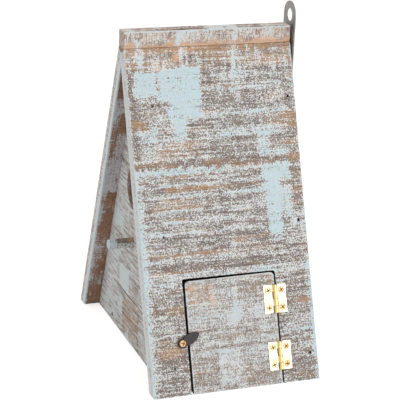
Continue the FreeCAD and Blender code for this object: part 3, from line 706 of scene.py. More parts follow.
def gable_finish(patches, lines, embers, grooves, seed):
    """A gable: fine level saw lines, a few deeper scores and thin greyish paint."""

    def finish(places, normals):
        x, y, z = places.T
        front, front_ember = painted_front(
            y, z, patches, lines, embers, seed, mean=0.56, contrast=0.5, pitch=2.8)
        back = bare_side(y, z, seed)
        deep = np.zeros_like(x)
        for level, y0, y1, depth in grooves:
            line = level + 0.5 * wave(y / 30, level, seed + 50)
            within = smooth(np.minimum(y - y0, y1 - y) / 12 + 0.5)
            deep += depth * within * np.exp(-(((z - line) / 0.55) ** 2))
        wall = 0.5 + 0.3 * wave(y / 9, x / 4, seed + 5)
        return finish_of(
            normals,
            (front - deep, front_ember, sawn(y, z, front, seed) + deep),
            (back, STAIN, sawn(y, z, back, seed + 1)),
            (wall, 0, edge_marks(y, x, seed, 0.06)),
        )

    return finish


def spool(radius, y, z, rim):
    """Form of a bored hole whose rims are worn round."""
    bend = np.linspace(0, math.pi / 2, 7)
    flare = [(radius + rim * (1 - math.cos(a)), -rim + rim * math.sin(a)) for a in bend]
    front = flare + [(radius + rim + 0.6, 0.6)]
    back = [(r, -BOARD - h) for r, h in reversed(front)]
    places, faces = spun([(0, -BOARD - 0.6), *back, *front, (0, 0.6)], 96)
    return places + (0, y, z), faces


def rub_entrance(piece):
    """Thin greyish paint on the wall of the entrance."""
    x, y, z = places_of(piece).T
    within = np.hypot(y, z - ENTRANCE_HEIGHT) < ENTRANCE_RADIUS + 0.4
    cover = np.empty(len(x), np.float32)
    field = piece.data.attributes["cover"].data
    field.foreach_get("value", cover)
    rubbed = 0.3 + 0.2 * wave(x / 3, y / 5, 431)
    field.foreach_set("value", np.where(within, rubbed, cover).astype(np.float32))


def gable(name, matrix, finish, seed, entrance=False):
    """A triangle, blunt at the top, with nail marks and, in front, the entrance and the perch's hole."""
    top = GABLE_HEIGHT - GABLE_BLUNT
    columns = np.linspace(-1, 1, 82)
    places, faces = shell(through_board(), columns, ruled([0, top], step=0.75))
    half = (GABLE_HEIGHT - places[:, 2]) * TAN
    places = np.stack([places[:, 0], places[:, 1] * (half - FIT), places[:, 2]], -1)
    r = edge_radius(places, seed, mean=0.4, spread=0.2)
    depth = np.minimum(-places[:, 0], places[:, 0] + BOARD)
    into, lift = rounding(r - depth, r - places[:, 2], r)
    places[:, 0] += np.where(places[:, 0] > -BOARD / 2, -1, 1) * into
    places[:, 2] += lift
    holes = nail_holes(FLOOR_NAILS)
    if entrance:
        holes.append(spool(ENTRANCE_RADIUS, 0, ENTRANCE_HEIGHT, ENTRANCE_WORN))
        holes.append(spool(PERCH_RADIUS + FIT, 0, PERCH_HEIGHT, PERCH_HOLE_WORN))
    piece = finished_board(name, places, faces, matrix, finish, holes=holes)
    if entrance:
        rub_entrance(piece)
    return piece


BACK_PATCHES = [
    (-58, -24, 52, 70, 0.5), (-50, -36, 38, 54, 0.45), (12, 30, 92, 128, 0.45), (26, 46, 104, 118, 0.4),
    (-20, -8, 120, 140, 0.35), (30, 64, 14, 24, 0.4), (-30, 10, 150, 180, -0.2),
    (-70, -10, 8, 22, -0.15),
]
BACK_ROWS = [(77, 1.2, -80, 80, -0.4), (120, 1.0, -60, 40, 0.3), (30, 1.0, -90, 60, -0.3)]
BACK_GROOVES = ((60.0, -60, 50, 0.4), (140.0, -30, 44, 0.3))
front_finish = gable_finish(FRONT_PATCHES, FRONT_ROWS, FRONT_EMBERS, FRONT_GROOVES, 411)
front_gable = gable("front_gable", FRONT_GABLE, front_finish, 9, entrance=True)
back_finish = gable_finish(BACK_PATCHES, BACK_ROWS, FRONT_EMBERS, BACK_GROOVES, 511)
back_gable = gable("back_gable", BACK_GABLE, back_finish, 15)


# Floor board, with its sides bevelled to the lean of the panels

def floor_finish(places, normals, seed=611):
    """The floor: stained on top, thinly painted below."""
    x, y, z = places.T
    top = 0.05 + 0.25 * wave(y / 30, z / 14, seed)
    patches = [(10, 80, -60, 40, 0.35)]
    under, under_ember = painted_front(y, z, patches, [], [], seed + 60, mean=0.3, contrast=0.9)
    return finish_of(
        normals,
        (top, STAIN, sawn(y, z, top, seed)),
        (under, under_ember, sawn(y, z, under, seed + 1)),
        (0.1, 0, 0.08),
    )


def make_floor():
    length = DEPTH + GABLE_PROUD - GABLE_SETBACK - 2 * BOARD
    low = GABLE_HALF - FLOOR_PLAY / COS
    along = ruled([FIT, length - FIT], step=2.4)
    places, faces = shell(through_board(), along, ruled([-low, low], step=0.9))
    places = eased(places, edge_radius(places, 17, mean=0.4, spread=0.2))
    places[:, 2] *= 1 - (places[:, 0] + BOARD) * TAN / low
    return finished_board("floor_board", places, faces, FLOOR, floor_finish)


floor_board = make_floor()


# Ridge bar: brushed upright strokes, worn along its lower edges, dented on top, with painted shade in the
# dents

RIDGE_DENTS = (
    (38.0, 2.2, 9.0, 0.4), (52.0, 2.4, 7.0, 0.45), (66.0, 2.2, 5.0, 0.3), (118.0, 2.0, 8.0, 0.3),
    (140.0, 2.4, 5.0, 0.3),
)
# Paint and warmth of its top at marks along it
RIDGE_MARKS = (6, 14, 40, 46, 72, 78, 98, 104, 120, 126, 150)
RIDGE_TOP = (0.5, 0.35, 0.35, 0.25, 0.25, 0.7, 0.7, 0.35, 0.3, 0.4, 0.4)
RIDGE_WARMTH = (0.1, 0.5, 0.5, 0, 0, 0, 0, 0, 0, 0.7, 0.7)
RIDGE_SMEARS = [
    (0, 8, 2, 15, 0.15), (9, 14, -1, 7, 0.6), (46, 50, -1, 11, 0.75), (49, 55, 9, 15, 0.45),
    (97, 101, -1, 14, 0.3), (128, 132, 3, 15, 0.25), (52, 80, 11, 15, 0.2), (22, 26, 6, 14, 0.2),
    (70, 73, 3, 12, 0.2), (114, 117, 5, 14, 0.2),
]


def ridge_finish(places, normals, seed=711):
    """The ridge bar's sides, top and ends, each in its own way."""
    x, y, z = places.T
    fine = 0.2 * wave(y / 1.6, z / 16, seed) + 0.18 * wave(y / 5.5, z / 12, seed + 1)
    strokes = fine + 0.15 * wave(y / 22, z / 20, seed + 2)
    worn = smooth((6.2 + 3.0 * wave(y / 12, x, seed + 3) + 1.2 * wave(y / 2.5, z / 6, seed + 4) - z) / 5)
    smears = patchwork(y, z, RIDGE_SMEARS, seed + 5)
    side = 0.4 + strokes - 0.4 * worn + smears + 0.6 * smooth((z - 12.9) / 1.0)
    over = np.interp(y, RIDGE_MARKS, RIDGE_TOP) + 0.3 * wave(y / 9, x / 5, seed + 7)
    over = over + 0.3 * wave(y / 3, x / 2, seed + 8)
    ends = 0.25 + 0.25 * wave(z / 3, x / 3, seed + 9)
    up, end = smooth((normals[:, 2] - 0.5) / 0.4), smooth((np.abs(normals[:, 1]) - 0.5) / 0.4)
    deep = np.zeros_like(x)
    for place, wide, long, depth in RIDGE_DENTS:
        deep += depth * np.exp(-(((y - place) / long) ** 2) - (((x - 5.0) / wide) ** 2)) * up
    # Dents show bare wood, and further down their warmth drops to dark stain and near-black: painted shade
    # in the dents
    cover = side * (1 - up) * (1 - end) + (over - 1.3 * deep) * up + ends * end
    ember = 0.25 + 0.75 * worn + 0.4 * wave(y / 12, z / 6, seed + 11)
    ember = ember * (1 - up) * (1 - end) + up * np.interp(y, RIDGE_MARKS, RIDGE_WARMTH) + 0.45 * end
    # Painted shade in the dents: stained dark, near-black at their deepest
    ember = ember - 3.0 * deep
    depth = 0.06 + 0.1 * wave(y / 1.9, (z + x) / 14, seed) * (1 - up) + 0.06 * wave(y / 6, x / 2, seed + 12)
    depth = depth + deep
    return np.clip(cover, -0.3, 1.3), np.clip(ember, DARK_SHADE, 1.3), depth


def make_ridge():
    across, along = ruled([-RIDGE_HALF, RIDGE_HALF], step=0.8), ruled([0, DEPTH], step=0.7)
    places, faces = shell(across, along, ruled([0, RIDGE_HEIGHT], step=0.8))
    places = eased(places, edge_radius(places, 21, mean=0.6, spread=0.3))
    spots = [(share * DEPTH, side) for share, side in RIDGE_NAILS]
    holes = [(p[:, [2, 1, 0]] * (-1, 1, 1) + (0, 0, RIDGE_HEIGHT), f) for p, f in nail_holes(spots)]
    return finished_board("ridge_bar", places, faces, RIDGE, ridge_finish, holes=holes)


ridge_bar = make_ridge()


# Perch: a dowel with long grain and a softly worn tip

def make_perch():
    length = FRONT + GABLE_SETBACK + BOARD - PERCH_TIP
    bend = np.linspace(0, math.pi / 2, 7)
    core = PERCH_RADIUS - PERCH_WORN
    tip = [(core + PERCH_WORN * math.sin(a), PERCH_WORN - PERCH_WORN * math.cos(a)) for a in bend]
    face = [(r, 0) for r in (0.01, 0.8, 1.6, 2.5)]
    along = [(PERCH_RADIUS, t) for t in np.linspace(2, length - 0.4, 60)]
    profile = [*face, *tip, *along, (PERCH_RADIUS - 0.3, length), (0.01, length)]
    places, faces = spun([(r, length - h) for r, h in profile][::-1], 72)
    matrix = placed((0, -1, 0), (1, 0, 0), (0, PERCH_TIP + length, PERCH_HEIGHT))
    x, y, z = places.T
    angle = np.arctan2(z, y)
    reach = np.hypot(y, z)
    grain = 0.1 * wave(np.cos(angle) * 9, x / 30 + 2 * np.sin(angle), 31)
    grain = grain + 0.06 * wave(angle * 6, x / 3, 32)
    shrink = 1 - np.where(reach > 1, (0.12 + grain) / PERCH_RADIUS, 0)
    places = np.stack([x, y * shrink, z * shrink], -1)
    piece = new_piece("perch_shown", [(places, faces)])
    tidy_mesh(piece.data)
    x, y, z = places_of(piece).T
    angle = np.arctan2(z, y)
    tip_share = smooth((x - length + 9) / 4)
    cover = 0.55 + 0.4 * wave(np.cos(angle) * 2.2 + 3, np.sin(angle) * 2.2 + x / 40, 33)
    cover += 0.2 * wave(angle * 3, x / 3, 34)
    band = smooth((z - 1.2) / 1.4) * (1 - tip_share)
    set_field(piece, "cover", np.clip(cover - 0.9 * band + 0.6 * tip_share, -0.3, 1.3))
    warmth = 0.2 + band * (1.1 * smooth((22 - x) / 7) - 0.5) + 0.4 * wave(x / 5, angle, 35)
    set_field(piece, "ember", np.clip(warmth, STAIN, 1))
    piece.data.shade_smooth()
    return seat(piece, matrix, "box", "painted_wood", "perch")


perch = make_perch()


# Metal: the hinges, the turn button and the plate keep their CAD form and get broken edges

SHARP = math.radians(38)


def refined(node, body, slot, width):
    """A copy of a CAD node with rounded edges."""
    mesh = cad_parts[node].data.copy()
    if "custom_normal" in mesh.attributes:
        mesh.attributes.remove(mesh.attributes["custom_normal"])
    work = bmesh.new()
    work.from_mesh(mesh)
    bmesh.ops.remove_doubles(work, verts=work.verts, dist=2e-6)
    bmesh.ops.dissolve_limit(work, angle_limit=math.radians(0.6), verts=work.verts, edges=work.edges)
    work.to_mesh(mesh)
    work.free()
    piece = linked(f"{node}_shown", mesh)
    bevel = piece.modifiers.new("broken_edges", "BEVEL")
    bevel.width = width * MM
    bevel.segments = 3
    bevel.limit_method = "ANGLE"
    bevel.angle_limit = SHARP
    bevel.use_clamp_overlap = True
    settle(piece)
    piece.data.shade_smooth()
    piece.data.set_sharp_from_angle(angle=SHARP)
    piece.data.transform(RIGHT_PANEL.inverted())
    return seat(piece, RIGHT_PANEL, body, slot, node)


leaves = []
for level in ("upper", "lower"):
    for part, body in (("frame_leaf", "box"), ("door_leaf", "door"), ("pin", "box")):
        leaf = refined(f"hinge_{level}_{part}", body, "hinge_brass", 0.12)
        beside = np.abs(places_of(leaf)[:, 1] - HINGE_LINE)
        # Along the barrel the brass stays a deeper gold, out of the painted reflection on the flat leaves:
        # painted shade
        set_field(leaf, "grime", 0.75 * smooth((2.9 - beside) / 0.8))
        leaves.append(leaf)
button = refined("turn_button", "turn_button", "button_metal", 0.12)
plate = refined("hanger_plate", "box", "plate_steel", 0.15)


# Screws: domed heads with a cross recess, over threaded shanks

def recess(y, z, head, turn):
    """Share of a cross recess at a place on a screw's head."""
    across = y * math.cos(turn) - z * math.sin(turn)
    along = y * math.sin(turn) + z * math.cos(turn)
    r = np.hypot(y, z) / head
    slim = np.minimum(np.abs(across), np.abs(along)) / head
    return smooth((0.195 - 0.06 * r - slim) / 0.05 + 0.5) * smooth((0.66 - r) / 0.1 + 0.5)


def screw_form(head, crown, rim, neck, shank, length, turn):
    """Rings of a cross-head screw along X. rim is the height of the head's edge."""
    count = 96
    angles = np.arange(count) * 2 * math.pi / count

    def ring(height, radius):
        return np.stack([np.full(count, height), radius * np.cos(angles), radius * np.sin(angles)], -1)

    radii = np.concatenate([np.linspace(0.02, 0.93, 34), [0.965, 0.99, 1.0]]) * head
    r, a = np.meshgrid(radii, angles, indexing="ij")
    y, z = r * np.cos(a), r * np.sin(a)
    heights = rim + crown * (1 - (r / head) ** 2.2)
    heights = heights - recess(y, z, head, turn) * (0.36 * head * (1.1 - r / head))
    rings = [np.stack(places, -1) for places in zip(heights, y, z)]
    low = neck - 0.6
    round_head = neck > rim - 0.2
    under = rim - 0.18 if round_head else neck - 0.02
    shoulder = under - 0.01 if round_head else low + 0.2
    rings += [ring(rim - 0.12, head), ring(under, head * 0.97), ring(shoulder, shank)]
    for height in np.linspace(low, neck - length + 1.6, int(length / THREAD_PITCH * 8)):
        phase = (height / THREAD_PITCH - angles / (2 * math.pi)) % 1
        ridge = np.clip(1 - np.abs(phase - 0.5) * 5, 0, 1)
        rings.append(ring(height, shank * (0.76 + 0.24 * ridge)))
    rings.append(ring(neck - length, 0.02))
    return np.concatenate(rings[::-1]), ring_faces(len(rings), count)


def screws(node, body, slot, matrix, spots, seed, **form):
    """One piece of several screws at (x, y, z) in a frame."""
    turns = np.random.default_rng(seed).random(len(spots)) * math.pi
    forms = []
    for spot, turn in zip(spots, turns):
        places, faces = screw_form(turn=turn, **form)
        forms.append((places + np.array(spot), faces))
    piece = new_piece(f"{node}_shown", forms)
    tidy_mesh(piece.data)
    places = places_of(piece)
    grime = np.zeros(len(places))
    # Painted shade: the cross recess and a ring round each head's edge, where it meets the surface below
    for spot, turn in zip(spots, turns):
        x, y, z = (places - spot).T
        r = np.hypot(y, z) / form["head"]
        head_shade = np.maximum(0.9 * recess(y, z, form["head"], turn), 0.8 * smooth((r - 0.84) / 0.12))
        grime = np.where(r < 1.01, head_shade, grime)
    set_field(piece, "grime", grime)
    piece.data.shade_smooth()
    piece.data.set_sharp_from_angle(angle=math.radians(50))
    return seat(piece, matrix, body, slot, node)


def leaf_spots(side):
    """Places of the screws in the two leaves on one side of the hinge line."""
    ends = (HINGE_SCREW_IN, HINGE_HEIGHT - HINGE_SCREW_IN)
    return [(0, HINGE_LINE + side * HINGE_SCREW_OUT, foot + end) for foot in HINGE_FEET for end in ends]


# Forms of the screws: sunk in the hinges, round-headed in the turn button and the hanger
SUNK = {"head": 2.7, "crown": 0.5, "rim": LEAF, "neck": -0.3, "shank": 1.3, "length": 8.6}
ROUND = {"crown": 1.6, "rim": 0.0, "neck": -0.1}
BUTTON_ROUND = {"head": 3.0, "shank": 1.5, "length": 11.9, **ROUND}
HANGER_ROUND = {"head": 3.2, "shank": 1.6, "length": 11.4, **ROUND}
frame_screws = screws("hinge_frame_screws", "box", "screw_brass", RIGHT_PANEL, leaf_spots(1), 5, **SUNK)
door_screws = screws("hinge_door_screws", "door", "screw_brass", RIGHT_PANEL, leaf_spots(-1), 6, **SUNK)
button_spots = [(2.3, *BUTTON)]
button_screw = screws(
    "turn_button_screw", "box", "screw_brass", RIGHT_PANEL, button_spots, 7, **BUTTON_ROUND)
hanger_spots = [(1.0, 0, z) for z in HANGER_SCREWS]
hanger_screws = screws(
    "hanger_screws", "box", "fastener_steel", BACK_GABLE, hanger_spots, 8, **HANGER_ROUND)


# Materials

def srgb(red, green, blue):
    """A colour written as 0 to 255, as linear light."""
    parts = [c / 255 for c in (red, green, blue)]
    return (*(c / 12.92 if c <= 0.04045 else ((c + 0.055) / 1.055) ** 2.4 for c in parts), 1)


class Graph:
    """Builds the nodes of a material or a world."""

    def __init__(self, holder, ending="ShaderNodeOutputMaterial"):
        self.holder = holder
        holder.use_nodes = True
        self.tree = holder.node_tree
        self.tree.nodes.clear()
        self.ending = self.add(ending)

    def add(self, kind, inputs=None, **settings):
        node = self.tree.nodes.new(kind)
        for key, value in settings.items():
            setattr(node, key, value)
        for key, value in (inputs or {}).items():
            self.put(node.inputs[key], value)
        return node

    def put(self, socket, value):
        if isinstance(value, bpy.types.NodeSocket):
            self.tree.links.new(value, socket)
        else:
            socket.default_value = value

    def end(self, shader):
        self.put(self.ending.inputs[0], shader.outputs[0])

    def vector(self, operation, *inputs):
        return self.add("ShaderNodeVectorMath", dict(enumerate(inputs)), operation=operation).outputs[0]

    def math(self, operation, a, b=0.0, c=0.0):
        return self.add("ShaderNodeMath", {0: a, 1: b, 2: c}, operation=operation).outputs[0]

    def span(self, value, low, high, to_low=0.0, to_high=1.0):
        inputs = {"Value": value, "From Min": low, "From Max": high, "To Min": to_low, "To Max": to_high}
        return self.add("ShaderNodeMapRange", inputs, interpolation_type="SMOOTHSTEP").outputs[0]

    def mix(self, share, a, b):
        node = self.add("ShaderNodeMix", data_type="RGBA")
        for place, value in ((0, share), (6, a), (7, b)):
            self.put(node.inputs[place], value)
        return node.outputs[2]


class Surface(Graph):
    """Builds one piece's material, in millimetres."""

    def __init__(self, name):
        super().__init__(bpy.data.materials.new(name))
        self.shader = self.add("ShaderNodeBsdfPrincipled")
        self.end(self.shader)

    def set(self, **values):
        for key, value in values.items():
            self.put(self.shader.inputs[key.replace("_", " ")], value)

    def places(self, shift=(0, 0, 0)):
        """The piece's own coordinates, from its field."""
        own = self.add("ShaderNodeAttribute", attribute_name="own")
        return self.vector("ADD", own.outputs["Vector"], shift)

    def object_places(self):
        """The object's coordinates, for pieces without that field."""
        return self.vector("MULTIPLY", self.add("ShaderNodeTexCoord").outputs["Object"], (1 / MM,) * 3)

    def field(self, name):
        return self.add("ShaderNodeAttribute", attribute_name=name).outputs["Fac"]

    def noise(self, places, size, detail=2.0, rough=0.5, stretch=(1, 1, 1), output="Fac"):
        """Noise about 0.5 with bumps about size wide, times stretch."""
        fitted = self.vector("MULTIPLY", places, tuple(1 / (size * s) for s in stretch))
        inputs = {"Vector": fitted, "Scale": 1.0, "Detail": detail, "Roughness": rough}
        return self.add("ShaderNodeTexNoise", inputs).outputs[output]

    def flakes(self, places, size):
        """A random value for each flake about size wide."""
        fitted = self.vector("MULTIPLY", places, (1 / size,) * 3)
        return self.add("ShaderNodeTexVoronoi", {"Vector": fitted, "Scale": 1.0}).outputs["Color"]

    def tinted(self, colour, places, size, amount):
        """A colour with slight casts of other hues in patches about size wide."""
        hues = self.noise(places, size, 1.0, output="Color")
        cast = self.vector("MULTIPLY_ADD", hues, (amount,) * 3, (1 - amount / 2,) * 3)
        return self.vector("MULTIPLY", colour, cast)

    def bump(self, height, strength):
        """Relief from a height."""
        inputs = {"Height": height, "Distance": MM, "Strength": strength}
        return self.add("ShaderNodeBump", inputs).outputs[0]


# The plain look of painted wood, and what differs on some pieces. The rows have a weight, a size and a
# run, thin is the share of haze on worn places, and soft is how softly the paint ends.
PLAIN_LOOK = {
    "speck": 2.3, "row": (1.2, 1.2, 22), "tick": 0.4, "thin": 0.35, "soft": 0.06,
    "pale": (231, 232, 231), "blue": (207, 225, 230), "mist": (194, 188, 181),
    "dark": (111, 101, 96), "warm": ((152, 119, 90), (200, 163, 127)),
}
GABLE_LOOK = {
    "speck": 0.9, "row": (2.4, 0.55, 34), "thin": 0.6,
    "pale": (239, 239, 237), "blue": (228, 237, 237), "dark": (124, 112, 106),
}
RIDGE_LOOK = {
    "speck": 1.5, "row": (0.1, 1.1, 12), "tick": 1.3, "thin": 0.75, "soft": 0.28,
    "pale": (229, 226, 223), "blue": (214, 226, 229), "mist": (206, 187, 175),
    "dark": (152, 131, 118), "warm": ((198, 157, 127), (236, 195, 161)),
}
DOOR_LOOK = {
    "speck": 1.5, "row": (0.9, 1.0, 20), "tick": 0.8, "thin": 0.7,
    "pale": (225, 227, 227), "blue": (211, 220, 226), "dark": (132, 121, 113),
}


def bare_wood(g, at, grain, ember, dark, warm):
    """Rough-sawn wood: greyish, then warmer with its warmth, stained dark below 0, and painted shade
    further below.
    """
    streak = g.span(grain, 0.3, 0.7)
    bare = g.mix(streak, srgb(*dark), srgb(151, 138, 131))
    olive = g.noise(at, 6, 2.0, 0.6, (1, 3, 0.8))
    bare = g.mix(g.span(olive, 0.5, 0.75, 0.0, 0.55), bare, srgb(168, 144, 116))
    plum = g.noise(at, 5, 2.0, 0.6, (1, 3, 0.8))
    bare = g.mix(g.span(plum, 0.3, 0.45, 0.6, 0.0), bare, srgb(126, 103, 102))
    glow = g.mix(streak, srgb(*warm[0]), srgb(*warm[1]))
    stain = g.mix(streak, srgb(131, 97, 76), srgb(170, 131, 106))
    stain = g.mix(g.span(g.noise(at, 9, 2.0, 0.6), 0.35, 0.65, 0.0, 0.6), stain, srgb(168, 124, 95))
    flecks = g.noise(at, 1.3, 1.0, 0.5, (1, 1, 2))
    stain = g.mix(g.span(flecks, 0.5, 0.3, 0.0, 0.7), stain, srgb(100, 82, 72))
    wood = g.mix(g.span(ember, 0.1, 0.8), bare, glow)
    wood = g.mix(g.span(ember, 1.0, 1.5), wood, srgb(240, 176, 124))
    wood = g.mix(g.span(ember, -0.7, -0.1), stain, wood)
    # Near-black painted shade: the saw cuts round the door, and the deepest of the ridge bar's dents
    return g.mix(g.span(ember, -1.9, -1.2), srgb(66, 54, 46), wood)


def painted_wood(name, shift, look):
    """Pale paint worn through to brown rough-sawn wood. Cover and warmth come from the mesh."""
    g = Surface(name)
    at = g.places(shift)
    cover, ember = g.field("cover"), g.field("ember")
    spots = g.noise(at, 1.1, 0.0)
    inside = g.span(ember, -0.1, -0.7)
    wash = g.math("MULTIPLY", g.field("wash"), g.math("SUBTRACT", 1.0, inside))
    calm = g.math("MAXIMUM", wash, g.math("MULTIPLY", inside, 0.6))
    calm = g.math("MULTIPLY_ADD", calm, -0.65, 1.0)
    row_weight, row_size, row_run = look["row"]
    grain = g.noise(at, 1.1, 3.0, 0.6, (1, 24, 1))
    parts = (
        (g.flakes(at, 0.85), 0.5 * look["speck"]),
        (spots, 0.5 * look["speck"]),
        (g.noise(at, 0.6, 0.0), 1.0),
        (g.noise(at, row_size, 1.0, 0.5, (1, row_run, 1)), row_weight),
        (g.noise(at, 0.9, 1.0, 0.5, (1, 1, 7)), look["tick"]),
        (g.noise(at, 4.5, 2.0, 0.55, (1, 1.6, 0.8)), 0.7),
        (g.span(g.noise(at, 1.5, 1.0), 0.28, 0.22), -1.2),
    )
    wear = 0.0
    for part, weight in parts:
        middle = 0.5 if weight > 0 else 0.0
        wear = g.math("ADD", wear, g.math("MULTIPLY_ADD", part, weight, -middle * weight))
    scrape = g.math("SUBTRACT", g.noise(at, 1.5, 2.0, 0.6, (1, 1, 14)), 0.5)
    level = g.math("MULTIPLY_ADD", wear, calm, cover)
    level = g.math("MULTIPLY_ADD", scrape, g.math("MULTIPLY", inside, 1.5), level)
    painted = g.span(level, 0.5 - look["soft"], 0.5 + look["soft"])
    wood = bare_wood(g, at, grain, ember, look["dark"], look["warm"])
    rubbed = g.math("MAXIMUM", g.math("MULTIPLY", wash, 0.95), look["thin"])
    haze = g.mix(wash, srgb(*look["mist"]), srgb(212, 203, 197))
    worn = g.mix(g.math("MULTIPLY", g.span(level, 0.0, 0.5), rubbed), wood, haze)
    brush = g.noise(at, 2.4, 2.0, 0.5, (1, 9, 1))
    tone = g.noise(at, 16, 2.0, 0.5, (1, 2, 1))
    whole = g.span(g.math("MULTIPLY_ADD", tone, 0.7, cover), 0.86, 1.3)
    whole = g.math("MULTIPLY", whole, g.span(ember, 0.55, 0.95, 1.0, 0.0))
    paint = g.mix(whole, srgb(*look["pale"]), srgb(*look["blue"]))
    paint = g.mix(g.span(brush, 0.35, 0.75, 0.0, 0.2), paint, srgb(230, 237, 240))
    # Paint on the walls is whitened: painted light, so edges facing away from the key lamp still come out
    # bright
    paint = g.mix(g.span(wash, 0.6, 1.0, 0.0, 0.8), paint, srgb(243, 244, 243))
    inner_paint = g.mix(brush, srgb(176, 176, 184), srgb(214, 212, 217))
    paint = g.mix(g.math("MULTIPLY", inside, 0.8), paint, inner_paint)
    height = g.math("MULTIPLY_ADD", painted, 0.05, g.math("MULTIPLY", spots, 0.14))
    height = g.math("MULTIPLY_ADD", grain, 0.06, height)
    g.set(Base_Color=g.tinted(g.mix(painted, worn, paint), at, 1.5, 0.33))
    g.set(Roughness=g.math("MULTIPLY_ADD", painted, -0.2, 0.82), Specular_IOR_Level=0.35)
    g.set(Normal=g.bump(height, 0.8))
    return g.holder


# Metals: size, detail and roughness of the cloudy tarnish, its reach, the marks of making and their relief
BRIGHT = {
    "cloud": (5, 3.0, 0.6), "reach": (0.4, 0.75, 0.0, 0.7), "metallic": 1.0,
    "marks": (0.35, 2.0, 0.6, (1, 1, 26)), "relief": (0.012, 0.6),
}
BLACKENED = {
    "cloud": (3, 3.0, 0.6), "reach": (0.35, 0.7), "metallic": 0.4,
    "marks": (0.5, 2.0, 0.6), "relief": (0.03, 0.7),
}
SHEET = {
    "cloud": (7, 3.0, 0.55), "reach": (0.3, 0.7), "metallic": 0.7,
    "marks": (0.5, 2.0, 0.5, (1, 1, 30)), "relief": (0.02, 0.6),
}


def metal(name, look, clean, dull, rough, shade_colour=None):
    """Metal that is duller in clouds, with fine marks and, if it has that colour, painted shade from the
    mesh.
    """
    g = Surface(name)
    at = g.places()
    cloud = g.noise(at, *look["cloud"])
    tint = g.mix(g.span(cloud, *look["reach"]), srgb(*clean), srgb(*dull))
    if shade_colour:
        tint = g.mix(g.field("grime"), tint, srgb(*shade_colour))
    depth, strength = look["relief"]
    marks = g.math("MULTIPLY", g.noise(at, *look["marks"]), depth)
    g.set(Base_Color=tint, Metallic=look["metallic"])
    g.set(Roughness=g.span(cloud, 0.3, 0.7, *rough), Normal=g.bump(marks, strength))
    return g.holder


def nail_steel(name):
    """Dark oxidised steel with a little rust."""
    g = Surface(name)
    at = g.object_places()
    rust = g.noise(at, 0.8, 3.0, 0.6)
    g.set(Base_Color=g.mix(g.span(rust, 0.45, 0.7), srgb(30, 28, 27), srgb(58, 42, 34)))
    g.set(Specular_IOR_Level=0.08)
    g.set(Roughness=g.span(rust, 0.4, 0.7, 0.6, 0.8))
    g.set(Normal=g.bump(g.math("MULTIPLY", rust, 0.08), 0.7))
    return g.holder


def dress(piece, material):
    piece.data.materials.clear()
    piece.data.materials.append(material)


own_looks = {front_gable: GABLE_LOOK, back_gable: GABLE_LOOK, ridge_bar: RIDGE_LOOK, door: DOOR_LOOK}
boards = (right_panel, left_panel, floor_board, ridge_bar, perch, front_gable, back_gable, door)
for number, piece in enumerate(boards):
    look = {**PLAIN_LOOK, **own_looks.get(piece, {})}
    shift = (17.0 * number, 41.0 * number, 29.0 * number)
    dress(piece, painted_wood(f"painted_{piece.name}", shift, look))
# The hinge brass is paled to cream: a painted reflection of the bright key lamp on the flat leaves
hinge_brass = metal(
    "hinge_brass", BRIGHT, (250, 240, 210), (244, 226, 176), (0.2, 0.3), (226, 196, 124))
# Each metal's last colour is its painted shade: in and round the screws' heads, and along the hinges'
# barrels
screw_brass = metal("screw_brass", BRIGHT, (248, 234, 192), (236, 210, 150), (0.24, 0.34), (96, 62, 30))
screw_gold = metal("screw_gold", BRIGHT, (236, 206, 158), (220, 178, 122), (0.26, 0.36), (110, 70, 34))
screw_steel = metal("screw_steel", BRIGHT, (196, 193, 188), (170, 166, 160), (0.36, 0.46), (50, 46, 42))
for piece in leaves:
    dress(piece, hinge_brass)
dress(door_screws, screw_brass)
for piece in (frame_screws, button_screw):
    dress(piece, screw_gold)
dress(button, metal("button_metal", BLACKENED, (46, 42, 43), (64, 58, 58), (0.42, 0.58)))
dress(plate, metal("plate_steel", SHEET, (128, 125, 121), (160, 157, 153), (0.42, 0.56)))
dress(hanger_screws, screw_steel)
nail_finish = nail_steel("nail_steel")
for node in ("right_panel_nails", "left_panel_nails", "ridge_nails", "floor_nails"):
    dress(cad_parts[node], nail_finish)


# Stage: a white floor that keeps a soft shadow, two large soft lights and even light all round

def seen_directly(g):
    """1 for rays from the camera, in reflections and through glass, where the background shows."""
    path = g.add("ShaderNodeLightPath").outputs
    either = path["Is Camera Ray"]
    for name in ("Is Glossy Ray", "Is Transmission Ray"):
        either = g.math("MAXIMUM", either, path[name])
    return either


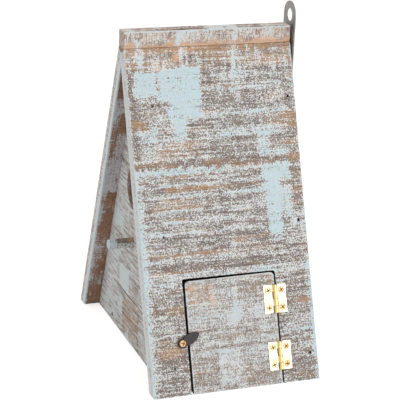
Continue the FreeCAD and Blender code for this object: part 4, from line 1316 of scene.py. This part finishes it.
def make_ground(half=8.0):
    mesh = bpy.data.meshes.new("stage_floor")
    corners = [(-half, -half, 0), (half, -half, 0), (half, half, 0), (-half, half, 0)]
    mesh.from_pydata(corners, [], [(0, 1, 2, 3)])
    linked("stage_floor", mesh)
    g = Graph(bpy.data.materials.new("stage_white"))
    matt = g.add("ShaderNodeBsdfDiffuse", {"Color": (0.86, 0.86, 0.86, 1)})
    glow = g.add("ShaderNodeEmission", {"Strength": g.math("MULTIPLY", seen_directly(g), 0.6)})
    g.end(g.add("ShaderNodeAddShader", {0: matt.outputs[0], 1: glow.outputs[0]}))
    mesh.materials.append(g.holder)


def make_world(level=0.55):
    g = Graph(bpy.data.worlds.new("studio"), "ShaderNodeOutputWorld")
    strength = g.span(seen_directly(g), 0.0, 1.0, level, 1.0)
    g.end(g.add("ShaderNodeBackground", {"Color": (1, 1, 1, 1), "Strength": strength}))
    scene.world = g.holder


def soft_light(name, toward, distance, size, power, target=(0.02, 0.0, 0.13)):
    lamp = bpy.data.lights.new(name, "AREA")
    lamp.size = size
    lamp.energy = power
    holder = linked(name, lamp)
    way = Vector(toward).normalized()
    holder.location = Vector(target) + way * distance
    holder.rotation_mode = "QUATERNION"
    holder.rotation_quaternion = way.to_track_quat("Z", "Y")


make_ground()
make_world()
soft_light("key", (0.8745, 0.3386, 0.3476), 1.7, 1.3, 9)
soft_light("top", (0.25, -0.35, 0.9), 2.2, 1.6, 5)


# Camera, at the photograph's place

LENS = 133.1
CAMERA_PLACE = (1148.19, -437.01, 551.89)
CAMERA_RIGHT = (0.34518432, 0.93773676, 0.03869816)
CAMERA_UP = (-0.31663681, 0.07754192, 0.94537208)


def make_camera():
    lens = bpy.data.cameras.new("camera")
    lens.sensor_width = 36
    lens.lens = LENS
    lens.clip_start, lens.clip_end = 0.05, 60
    camera = linked("camera", lens)
    camera.matrix_world = placed(CAMERA_RIGHT, CAMERA_UP, CAMERA_PLACE)
    scene.camera = camera


make_camera()
scene.view_settings.view_transform = "Standard"
